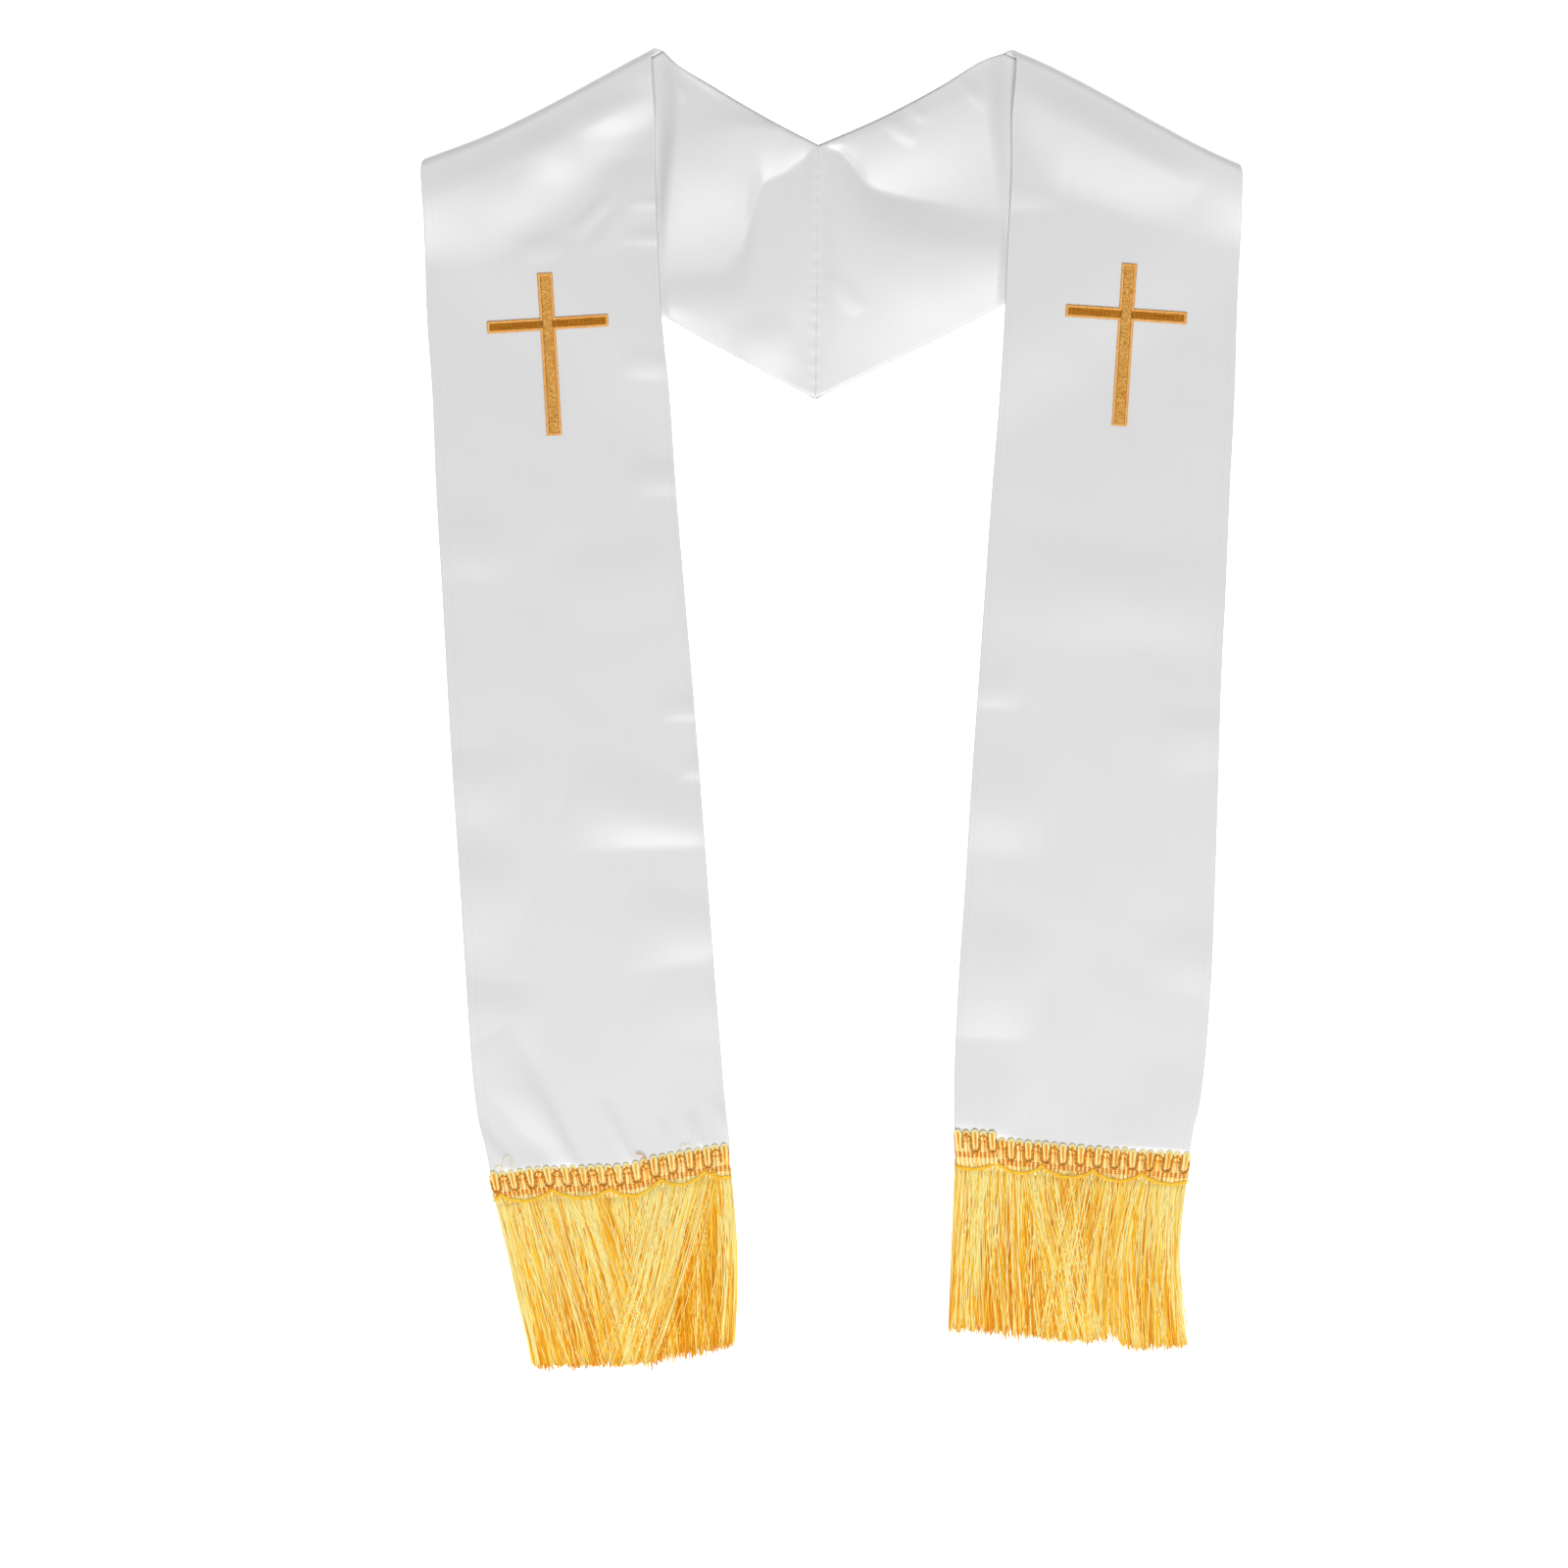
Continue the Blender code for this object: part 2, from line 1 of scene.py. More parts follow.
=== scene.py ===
# %% [markdown]
# This lesson dresses a white satin stole that lies flat on a table, seen from straight above. A fixed frame
# comes first: the plain solids of the stole, which say where each piece is and how big it is. Every finer
# piece below stands in for one of those solids and stays in its place.

# %% Load the frame
import math

import bpy
import numpy as np
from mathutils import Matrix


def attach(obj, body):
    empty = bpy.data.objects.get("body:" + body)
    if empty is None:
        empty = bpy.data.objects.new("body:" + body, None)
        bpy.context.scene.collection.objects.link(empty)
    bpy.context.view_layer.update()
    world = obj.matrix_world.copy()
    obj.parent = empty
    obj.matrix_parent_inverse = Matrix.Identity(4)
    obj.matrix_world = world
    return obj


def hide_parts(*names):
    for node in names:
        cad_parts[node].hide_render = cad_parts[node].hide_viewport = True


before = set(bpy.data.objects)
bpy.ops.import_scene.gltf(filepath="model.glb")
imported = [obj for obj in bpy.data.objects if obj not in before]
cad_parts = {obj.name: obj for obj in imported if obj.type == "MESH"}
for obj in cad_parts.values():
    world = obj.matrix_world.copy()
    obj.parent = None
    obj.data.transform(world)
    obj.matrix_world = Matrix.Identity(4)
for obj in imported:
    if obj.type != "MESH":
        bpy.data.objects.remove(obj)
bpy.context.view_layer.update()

MM = 0.001
bpy.ops.object.select_all(action="DESELECT")
print("solids in the frame:", len(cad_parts))

# %% [markdown]
# The stole is cut from two bands. Their plan could be traced point by point in edit mode, but the two
# halves share one cut, so it is kept as short tables in millimetres: the fold line of the shoulder, the two
# edges of the neck stretch, the edges of the front, the corners of the braid, the ends of the fringe and
# the middle of the cross.

# %% The plan of each half
PLANS = {
    "left": {
        "fold": ((0, -97.4, 359.8), (0.7, -186.2, 313.5), (1, -223.4, 299.2)),
        "neckline": ((0, -8, 307.1), (0.3, -34.8, 321), (0.62, -64.2, 338.1), (0.88, -85.1, 351)),
        "neck_edge": ((0, -9.6, 168), (0.39, -94.2, 214.5)),
        "front": (
            (290, -224.2, -97),
            (258, -223, -95.8),
            (215, -221.8, -93.6),
            (172, -218.8, -89.3),
            (119, -216.7, -85.6),
            (65, -213.5, -81.1),
            (12, -210.6, -76.5),
            (-42, -207.4, -72.2),
            (-95, -203.8, -68.3),
            (-149, -200.4, -64.2),
            (-202, -196.6, -60),
            (-237, -192, -57.2),
        ),
        "braid": ((-188.6, -253.8), (-56.8, -237.5), (-55.8, -255.7), (-184.6, -270.6)),
        "fringe_end": ((0, -164, -359.2), (0.47, -111.8, -357.4), (0.8, -75.4, -352), (1, -53.5, -346.7)),
        "fringe_waist": (0, 2.4),
        "cross": (-155.7, 209.3, 3.4),
    },
    "right": {
        "fold": ((0, 97.9, 359), (0.16, 118, 350.2), (0.83, 206.5, 303.3), (1, 221.6, 296.6)),
        "neckline": ((0, -8, 307.1), (0.3, 24.4, 321), (0.62, 58.5, 338.8), (0.88, 83, 353.4)),
        "neck_edge": ((0, -9.6, 168), (0.4, 93.6, 219.9)),
        "front": (
            (290, 224.2, 97.4),
            (258, 222.6, 95.6),
            (215, 220.6, 93.6),
            (172, 219.4, 91),
            (119, 216.7, 86.7),
            (65, 214.5, 82.9),
            (12, 211.9, 79.2),
            (-42, 210.3, 75.4),
            (-95, 208.7, 72.2),
            (-149, 206.5, 68.5),
            (-202, 202.2, 66),
            (-230, 198.2, 65.3),
        ),
        "braid": ((195.8, -242.9), (65.6, -232.5), (67, -250.9), (193.1, -260.5)),
        "fringe_end": (
            (0, 193.6, -347.4),
            (0.22, 165.9, -348.8),
            (0.3, 155.2, -344.4),
            (0.325, 151.4, -340.6),
            (0.35, 148.6, -344.4),
            (0.48, 133.8, -344.8),
            (0.75, 100, -341.7),
            (1, 63.1, -338.7),
        ),
        "fringe_waist": (-4.2, 0),
        "cross": (160, 214.5, -3.6),
    },
}
SIGNS = {"left": -1.0, "right": 1.0}
FACE_WALL = 1.2
LINING_WALL = 1.0
GAP = 0.3
ROLL_RADIUS = 4.0
ROLL_LEAN_DEG = 31.8
# x, and how far from the fold the front leaves the crown of the roll and is down
CROWN = {
    "left": ((-224, 4, 49), (-180, 8, 64), (-150, 11, 60), (-136, 11, 55), (-120, 9, 50), (-97, 5, 40)),
    "right": ((97, 3, 36), (112, 8, 56), (130, 10, 68), (160, 8, 64), (190, 8, 58), (222, 8, 52)),
}
CROWN_WIDTH = 18.0
# how far the braid hangs below the line between its ends, at distances along it from its outer end
BRAID_SAG = {
    "left": (
        (0, 0), (27, 0.2), (45, 1.6), (60, 3), (74, 4.1), (82, 3.8), (90, 2.2), (105, 1), (121, 0.2),
        (130, 0),
    ),
    "right": ((0, 0), (60, 0.6), (100, 0.3), (130, 0)),
}
EDGE_CLEARANCE = 8.0
EDGE_EASE = 60.0
HEM_SHARE = 0.53


def smooth(value):
    """A soft step from 0 to 1."""
    held = np.clip(value, 0.0, 1.0)
    return held * held * (3.0 - 2.0 * held)


def ease_between(t, start, end, lean_start, lean_end):
    """A cubic from start to end as t goes from 0 to 1, with these slopes at its two ends."""
    level = start * (2 * t**3 - 3 * t**2 + 1) + end * (3 * t**2 - 2 * t**3)
    return level + lean_start * (t**3 - 2 * t**2 + t) + lean_end * (t**3 - t**2)


def along_table(rows, at, column=1):
    """A smooth curve through a table's rows that never swings past them: a column against the first one."""
    table = np.array(sorted(rows), float)
    x, y = table[:, 0], table[:, column]
    slopes = np.diff(y) / np.diff(x)
    leans = np.concatenate([slopes[:1], np.zeros(len(x) - 2), slopes[-1:]])
    before, after = slopes[:-1], slopes[1:]
    same = before * after > 0.0
    leans[1:-1][same] = 2.0 * before[same] * after[same] / (before[same] + after[same])
    place = np.clip(np.searchsorted(x, at) - 1, 0, len(x) - 2)
    step = x[place + 1] - x[place]
    t = np.clip((at - x[place]) / step, 0.0, 1.0)
    return ease_between(t, y[place], y[place + 1], step * leans[place], step * leans[place + 1])


def point_on(rows, share):
    """The plan point of a table of share, x and y."""
    return np.stack([along_table(rows, share, 1), along_table(rows, share, 2)], axis=-1)


def between(start, end, shares):
    """Points on the straight line from start to end, one for each share."""
    return start + np.outer(shares, end - start)


print("tables for", ", ".join(PLANS), "and", len(PLANS["left"]["front"]), "rows down each front")

# %% [markdown]
# On the real stole each band runs from the seam at the centre back to the shoulder, rolls over there and
# comes down as the front. A flat plane could be bent with modifiers, but the fold is slanted and the layers
# have to clear one another, so each row of the sheet is placed by rule: across the neck, round the roll,
# and down the front.

# %% Rows of the sheet
def fold_directions(side):
    """Unit vectors in plan: from the fold into the stole, and along the fold from the neckline outwards."""
    start, end = np.array(PLANS[side]["fold"][0][1:]), np.array(PLANS[side]["fold"][1][1:])
    along = (end - start) / np.linalg.norm(end - start)
    return np.array([along[1], -along[0]]) * SIGNS[side], along


def roll_row(side, angle_deg, radius, across):
    """One row of the roll: -90 degrees is its foot on the table and 90 its crown."""
    inward, along = fold_directions(side)
    angle = math.radians(angle_deg)
    slide = ROLL_RADIUS * math.tan(math.radians(ROLL_LEAN_DEG)) * angle
    plan = point_on(PLANS[side]["fold"], across) + inward * (ROLL_RADIUS - radius * math.cos(angle))
    return plan + along * slide, np.full(len(across), ROLL_RADIUS + radius * math.sin(angle))


def neck_row(side, share, across):
    """Plan points across the neck stretch, at this share of the way from the seam to the shoulder."""
    foot = roll_row(side, -90.0, ROLL_RADIUS, across)[0]
    neckline = PLANS[side]["neckline"] + ((1.0, *foot[0]),)
    neck_edge = PLANS[side]["neck_edge"] + ((1.0, *foot[-1]),)
    row = between(point_on(neckline, share), point_on(neck_edge, share), across)
    row += (foot - between(foot[0], foot[-1], across)) * share**4
    row[:, 0] += SIGNS[side] * GAP / 2.0 * (1.0 - share)
    return row


def edge_x(side, y, column):
    """x of the front's outer edge, column 1, or of its edge beside the opening, column 2."""
    return along_table(PLANS[side]["front"], y, column)


def hem_corners(side):
    """The cloth's outer and inner hem corners, under the middle of the braid."""
    top_outer, top_inner, low_inner, low_outer = np.array(PLANS[side]["braid"])
    return top_outer + (low_outer - top_outer) * HEM_SHARE, top_inner + (low_inner - top_inner) * HEM_SHARE


def front_row(side, share, across):
    """Plan points across the front, at this share of the way from the crown of the roll to the hem."""
    crown = roll_row(side, 90.0, ROLL_RADIUS, across)[0]
    hem_outer, hem_inner = hem_corners(side)
    y_inner = crown[0][1] + (hem_inner[1] - crown[0][1]) * share
    y_outer = crown[-1][1] + (hem_outer[1] - crown[-1][1]) * share
    near_crown = 1.0 - smooth(share * (crown[0][1] - hem_inner[1]) / (2.0 * CROWN_WIDTH))
    near_hem = smooth((share - 0.93) / 0.07)
    x_inner = edge_x(side, y_inner, 2) + (crown[0][0] - edge_x(side, crown[0][1], 2)) * near_crown
    x_inner += (hem_inner[0] - edge_x(side, hem_inner[1], 2)) * near_hem
    x_outer = edge_x(side, y_outer, 1) + (crown[-1][0] - edge_x(side, crown[-1][1], 1)) * near_crown
    x_outer += (hem_outer[0] - edge_x(side, hem_outer[1], 1)) * near_hem
    row = between(np.array([x_inner, y_inner]), np.array([x_outer, y_outer]), across)
    return row + (crown - between(crown[0], crown[-1], across)) * near_crown


def front_height(side, points):
    """The height of the front's lower side before its creases, from the roll over the neck to the table."""
    inward = fold_directions(side)[0]
    visible_end = np.array(PLANS[side]["neck_edge"][1][1:])
    corner = roll_row(side, -90.0, ROLL_RADIUS, np.array([1.0]))[0][0]
    run = (corner - visible_end) / np.linalg.norm(corner - visible_end)
    past_edge = -(points - visible_end) @ (np.array([-run[1], run[0]]) * SIGNS[side])
    stack = FACE_WALL + GAP + LINING_WALL + GAP
    rest = stack * (1.0 - smooth((past_edge - EDGE_CLEARANCE) / EDGE_EASE))
    from_fold = (points - np.array(PLANS[side]["fold"][0][1:])) @ inward
    leave, down = (along_table(CROWN[side], points[..., 0], column) for column in (1, 2))
    crown = 1.0 - smooth((from_fold - leave) / (down - leave))
    return rest + (2.0 * ROLL_RADIUS - FACE_WALL - rest) * crown


print("the left fold runs inwards along", fold_directions("left")[0].round(2))

# %% [markdown]
# Satin creases softly, and its sheen shows every slope: what tilts towards the fringe catches the light and
# what tilts away from it stays grey. Sculpting could make such creases, but tables of them can be read and
# corrected. The neck stretch has broad swells, so it is shaped by lines of crests and troughs that run
# across it, one below the other. A trough can be crisp, like a pressed V, and the middle seam is held up as
# a low ridge.

# %% Swells of the neck stretch
# one line after the other from the neckline down: points of x, y, height and crispness
NECK_LINES = {
    "left": (
        (
            (-9, 307.5, 1.9, 0), (-35, 321, 2.4, 0), (-50, 329.5, 3.4, 0), (-64, 338, 3.8, 0),
            (-98, 359, 2.6, 0),
        ),
        (
            (-9, 306.8, 2, 0), (-20, 310.5, 2.9, 0), (-32, 316, 4, 0), (-48, 316, 5.6, 0),
            (-62, 311, 6.8, 0), (-80, 306, 6.8, 0), (-98, 304, 5, 0),
        ),
        (
            (-9, 305.8, 1.8, 1), (-18, 297.5, 1.2, 1), (-27, 291, 1, 1), (-38, 285.5, 0.9, 1),
            (-43, 275, 0.9, 0.9), (-49, 252, 0.7, 0.5), (-62, 240, 0.5, 0.1), (-92, 237, 0.4, 0),
        ),
        ((-9, 236, 3.4, 0), (-22, 229, 4, 0), (-45, 223, 3.2, 0), (-64, 221, 2.4, 0), (-92, 221, 1.7, 0)),
        ((-9.6, 168, 0.3, 0.8), (-94.2, 214.5, 0.2, 0.8)),
    ),
    "right": (
        ((-8, 307.1, 1.9, 0), (24.4, 321, 3.6, 0), (58.5, 338.8, 5, 0), (98, 360, 3, 0)),
        (
            (-8, 306.4, 2, 0), (5, 309, 3, 0), (20, 313, 4.3, 0), (40, 320, 5.5, 0), (62, 327, 6, 0),
            (80, 333, 5.8, 0), (98, 338, 4, 0),
        ),
        (
            (-8, 305.6, 1.9, 1), (2, 304, 1.4, 1), (11.8, 294, 0.7, 1), (20, 284, 0.5, 1),
            (30, 280, 0.4, 0.9), (57, 275, 0.8, 0.5), (84, 271, 1.3, 0.2), (98, 270, 1.4, 0),
        ),
        ((-8, 262, 4.6, 0), (8, 257, 5.8, 0), (30, 250, 5.9, 0), (70, 248, 4.6, 0), (98, 248, 3, 0)),
        ((-9.6, 168, 0.3, 0.8), (93.6, 219.9, 0.2, 0.8)),
    ),
}
CRISP_SLOPE = 1.7
# y of the middle seam, its height, and how far its ridge reaches to the left and to the right
SEAM_RIDGE = (
    (168, 0.3, 21, 10),
    (190, 1.7, 17, 10),
    (224, 3.3, 12, 10),
    (262, 3.9, 9, 10),
    (290, 3.3, 8, 9),
    (307, 2.1, 8, 8),
)
SEAM_TOP, SEAM_FOOT = (-8, 307.1), (-9.6, 168)
# the seam pulls the cloth into small puckers: pitch, height, and their reach to the left and to the right
PUCKERS = (7.7, 0.13, 5.5, 3)
PANEL_CLEARANCE = 0.5


def neck_swell(side, points):
    """The height of the swells: each point lies between two of the lines, on a soft course between them."""
    x, y = points[..., 0], points[..., 1]
    lines = [[along_table(rows, x, column) for column in (1, 2, 3)] for rows in NECK_LINES[side]]
    height = lines[0][1]
    for (y0, h0, crisp0), (y1, h1, crisp1) in zip(lines, lines[1:]):
        t = np.clip((y0 - y) / (y0 - y1), 0.0, 1.0)
        slope = CRISP_SLOPE * (h1 - h0)
        height = np.where(y < y0, ease_between(t, h0, h1, slope * crisp0, slope * crisp1), height)
    seam_x = SEAM_FOOT[0] + (SEAM_TOP[0] - SEAM_FOOT[0]) * (y - SEAM_FOOT[1]) / (SEAM_TOP[1] - SEAM_FOOT[1])
    from_seam = np.abs(x - seam_x)
    ridge, reach = along_table(SEAM_RIDGE, y, 1), along_table(SEAM_RIDGE, y, 2 if side == "left" else 3)
    near = 1.0 - smooth(from_seam / reach)
    pitch, pucker, to_left, to_right = PUCKERS
    wave = np.sin(2.0 * math.pi * y / pitch + 1.9 * np.sin(y / 9.0) + x / 6.0)
    tug = 1.0 - smooth(from_seam / (to_left if side == "left" else to_right))
    return height + (ridge - height) * near + pucker * wave * tug


print("lines of crests and troughs on each half of the neck:", len(NECK_LINES["left"]))

# %% [markdown]
# Smaller creases are single ridges. Each row of the table is one: where it starts and ends, how far its
# flank reaches to the left hand and to the right hand of that run, at its start and at its end, and its
# height. A foot of 2 is soft and a foot of 1 ends in a crisp line. No two are alike in length, width or
# height. Very slow, low waves keep the rest of the cloth from being perfectly flat.

# %% Creases
# side, start x and y, end x and y, left flank (reach at the start, at the end, foot), right flank, height
NECK_CREASES = (
    ("left", -92, 352, -80, 330, (5, 3, 2), (4, 5, 1), 1.1),
    ("left", -84, 352, -58, 333, (5, 4, 2), (4, 4, 1), 0.9),
    ("left", -95, 344, -92, 318, (4, 3, 2), (3, 3, 2), 0.6),
    ("left", -56, 196, -20, 204, (16, 18, 2), (24, 28, 2), 0.9),
    ("right", 24, 322, 46, 308, (6, 5, 1), (5, 6, 2), 0.6),
    ("right", 38, 330, 52, 319, (4, 5, 2), (3, 4, 1), 0.5),
    ("right", -3, 238, 14, 214, (6, 8, 1), (8, 6, 2), 0.5),
    ("right", 66, 344, 84, 326, (7, 6, 2), (4, 5, 2), 0.5),
)
FRONT_CREASES = (
    ("left", -228, 273, -112, 334, (24, 18, 2), (48, 42, 1.5), 1.4),
    ("left", -196, 276, -156, 288, (15, 17, 2), (26, 24, 2), 0.45),
    ("left", -172, 302, -138, 310, (12, 12, 2), (22, 24, 2), 0.5),
    ("left", -142, 322, -94, 332, (9, 10, 2), (15, 18, 2), 0.9),
    ("left", -130, 280, -88, 286, (18, 20, 2), (26, 26, 2), 1.2),
    ("left", -142, 258, -121, 281, (5, 5, 2), (9, 8, 2), 0.7),
    ("left", -132, 248, -112, 272, (7, 7, 1), (13, 15, 2), 0.6),
    ("left", -172, 250, -146, 253, (8, 8, 2), (9, 8, 1), 0.5),
    ("left", -114, 276, -84, 276, (3, 3, 2), (4, 4, 1), 0.4),
    ("left", -118, 256, -80, 256, (8, 8, 2), (4, 4, 1), 0.6),
    ("left", -116, 190, -86, 186, (10, 10, 2), (10, 8, 1), 0.5),
    ("left", -112, 126, -74, 122, (14, 14, 2), (12, 9, 2), 0.7),
    ("left", -224, 88, -174, 82, (28, 24, 2), (20, 18, 2), 0.7),
    ("left", -152, 70, -82, 74, (20, 24, 2), (34, 30, 2), 0.8),
    ("left", -96, -3, -62, -2, (14, 12, 2), (5, 4, 1), 0.5),
    ("left", -86, -36, -62, -33, (12, 10, 2), (5, 4, 1), 0.45),
    ("left", -146, -47, -60, -69, (34, 22, 2), (34, 8, 1.5), 1.6),
    ("left", -116, -118, -50, -124, (26, 20, 2), (30, 12, 1.4), 0.9),
    ("left", -104, -160, -50, -168, (24, 20, 2), (26, 18, 2), 0.4),
    ("left", -228, -38, -170, -42, (20, 18, 2), (30, 26, 2), 0.9),
    ("left", -230, -98, -166, -104, (32, 30, 2), (42, 36, 2), 1.2),
    ("left", -218, -165, -156, -170, (22, 20, 2), (40, 36, 2), 1.1),
    ("left", -186, -178, -133, -263, (14, 4, 2), (28, 6, 2), 1.5),
    ("left", -192, -258, -138, -252, (22, 16, 2), (8, 8, 2), 0.45),
    ("left", -126, -214, -105, -260, (5, 4, 2), (5, 3, 2), 0.8),
    ("left", -196, -226, -168, -266, (6, 4, 2), (6, 4, 2), 1),
    ("left", -78, -220, -68, -252, (4, 4, 2), (5, 4, 2), 0.8),
    ("left", -94, -224, -86, -254, (5, 4, 2), (4, 3, 2), 0.5),
    ("left", -66, -212, -48, -244, (5, 5, 2), (7, 5, 2), 0.6),
    ("right", 76, 353, 204, 291, (22, 16, 2), (54, 36, 1.4), 2.3),
    ("right", 60, 288, 126, 281, (30, 26, 2), (16, 10, 1), 1),
    ("right", 66, 72, 232, 54, (34, 28, 2), (38, 30, 2), 1.1),
    ("right", 70, 11, 104, 8, (18, 16, 2), (11, 9, 1), 0.6),
    ("right", 52, -50, 120, -62, (44, 36, 2), (30, 26, 2), 1),
    ("right", 56, -141, 116, -152, (40, 34, 2), (40, 30, 1), 1.3),
    ("right", 54, -222, 104, -232, (42, 36, 2), (12, 12, 2), 0.9),
    ("right", 150, -238, 214, -244, (44, 60, 2), (9, 9, 2), 0.8),
    ("right", 176, -13, 228, -17, (14, 18, 2), (26, 22, 2), 0.7),
    ("right", 170, -134, 226, -140, (20, 24, 2), (22, 24, 2), 0.5),
)
SLOW_WAVES = ((47, 0.5, 0, 0.10), (71, 1.9, 1.3, 0.13), (33, 1.1, 2.6, 0.05), (96, 2.6, 0.7, 0.14))
LEAST_LIFT = 0.2
# the creases run on to just inside the braid and fade out under it
HEM_REACH, HEM_FADE = 4.5, 5.0


def off_line(points, x0, y0, x1, y1):
    """For each plan point: its share of the run, and how far it is to the run's left hand."""
    away, run = points - [x0, y0], np.array([x1 - x0, y1 - y0])
    return away @ run / (run @ run), away @ np.array([-run[1], run[0]]) / np.linalg.norm(run)


def crease_lift(side, points, table):
    """The sum of the ridges of a table at these plan points, and of the slow waves."""
    x, y = points[..., 0], points[..., 1]
    lift = LEAST_LIFT + np.zeros(points.shape[:-1])
    for length, heading, shift, height in SLOW_WAVES:
        run = x * math.cos(heading) + y * math.sin(heading)
        lift += height / 2.0 * np.sin(run * 2.0 * math.pi / length + shift)
    for row_side, x0, y0, x1, y1, left, right, height in table:
        if row_side == side:
            share, left_hand = off_line(points, x0, y0, x1, y1)
            held = np.clip(share, 0.0, 1.0)
            to_left, to_right = (start + (end - start) * held for start, end, _ in (left, right))
            across = np.clip(1.0 - (left_hand / np.where(left_hand > 0.0, to_left, to_right)) ** 2, 0.0, 1.0)
            foot = np.where(left_hand > 0.0, left[2], right[2])
            lift += height * across**foot * np.clip(4.0 * share * (1.0 - share), 0.0, 1.0)
    return lift


def neck_lift(side, points):
    """How high the swells and creases hold the neck stretch off the table. It lies flat under the front."""
    lift = neck_swell(side, points) + crease_lift(side, points, NECK_CREASES)
    beside_front = (edge_x(side, points[..., 1], 2) - points[..., 0]) * SIGNS[side]
    fade = 3.0 + 11.0 * smooth((points[..., 1] - 240.0) / 95.0)
    return lift * smooth((beside_front - PANEL_CLEARANCE) / fade)


def front_lift(side, points):
    """How high the creases hold the front off what it lies on. It lies flat under the braid."""
    top_outer, top_inner = np.array(PLANS[side]["braid"][:2])
    run = (top_inner - top_outer) / np.linalg.norm(top_inner - top_outer)
    above_braid = (points - top_outer) @ np.array([-run[1], run[0]]) * -SIGNS[side]
    above_braid += along_table(BRAID_SAG[side], (points - top_outer) @ run)
    return crease_lift(side, points, FRONT_CREASES) * smooth((above_braid + HEM_REACH) / HEM_FADE)


def front_top(side, points):
    """The height of the front's upper side, which the crosses lie on."""
    return front_height(side, points) + FACE_WALL + front_lift(side, points)


print("creases on the neck and the fronts:", len(NECK_CREASES), "and", len(FRONT_CREASES))

# %% [markdown]
# A sheet is made as by hand: a flat grid is added, its points are carried to the rows, and Solidify gives
# it the cloth's wall. A weight on each point thins the wall towards the edges, because the stole was sewn
# inside out and turned, so its edges are soft noses and not cut walls. Its UV map holds the real distances
# across and along the band, in metres, so that weave and seam lines can follow the cloth.

# %% Sheets
EDGE_NOSE = (0.55, 0.8, 0.8)
EDGE_STEPS = (0.0, 0.25, 0.7, 1.4, 2.6)
THINNEST = 0.04


def across_shares(width, step):
    """Shares across a sheet: close together at both edges and even in between."""
    close = np.array(EDGE_STEPS) / width
    count = int(round((width - 2.0 * EDGE_STEPS[-1]) / step)) + 1
    middle = np.linspace(close[-1], 1.0 - close[-1], count)
    return np.concatenate([close[:-1], middle, 1.0 - close[:-1][::-1]])


def run_lengths(points):
    """Distances along a line of points, from its start."""
    return np.concatenate([[0.0], np.cumsum(np.linalg.norm(np.diff(points, axis=0), axis=1))])


def read(items, field, width=1, kind=np.float32):
    """One field of a mesh's points, corners or triangles, as an array."""
    values = np.empty(len(items) * width, kind)
    items.foreach_get(field, values)
    values = values.astype(float if kind is np.float32 else int)
    return values.reshape(-1, width) if width > 1 else values


def write(items, field, values, kind=np.float32):
    """Writes an array to one field of a mesh's points, corners or faces."""
    items.foreach_set(field, np.asarray(values).astype(kind).ravel())


def select_only(piece):
    """Deselects all, then selects one piece and makes it the active one."""
    bpy.ops.object.select_all(action="DESELECT")
    piece.select_set(True)
    bpy.context.view_layer.objects.active = piece


def apply_modifier(piece, kind, name, **settings):
    """Adds a modifier to a piece and applies it."""
    select_only(piece)
    modifier = piece.modifiers.new(name, kind)
    for key, value in settings.items():
        setattr(modifier, key, value)
    bpy.ops.object.modifier_apply(modifier=name)


def turn_outwards(piece):
    """Turns a closed shell's faces round if they point inwards."""
    mesh = piece.data
    mesh.calc_loop_triangles()
    corners = read(mesh.loop_triangles, "vertices", 3, np.int32)
    if np.linalg.det(read(mesh.vertices, "co", 3)[corners]).sum() < 0.0:
        mesh.flip_normals()


def put_on(piece, finish):
    """Gives a piece its finish, smooth faces and its place on the frame."""
    piece.data.materials.clear()
    piece.data.materials.append(finish)
    piece.data.shade_smooth()
    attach(piece, "root")
    piece.data.calc_loop_triangles()
    print(f"{piece.name}: {len(piece.data.loop_triangles)} triangles")
    return piece


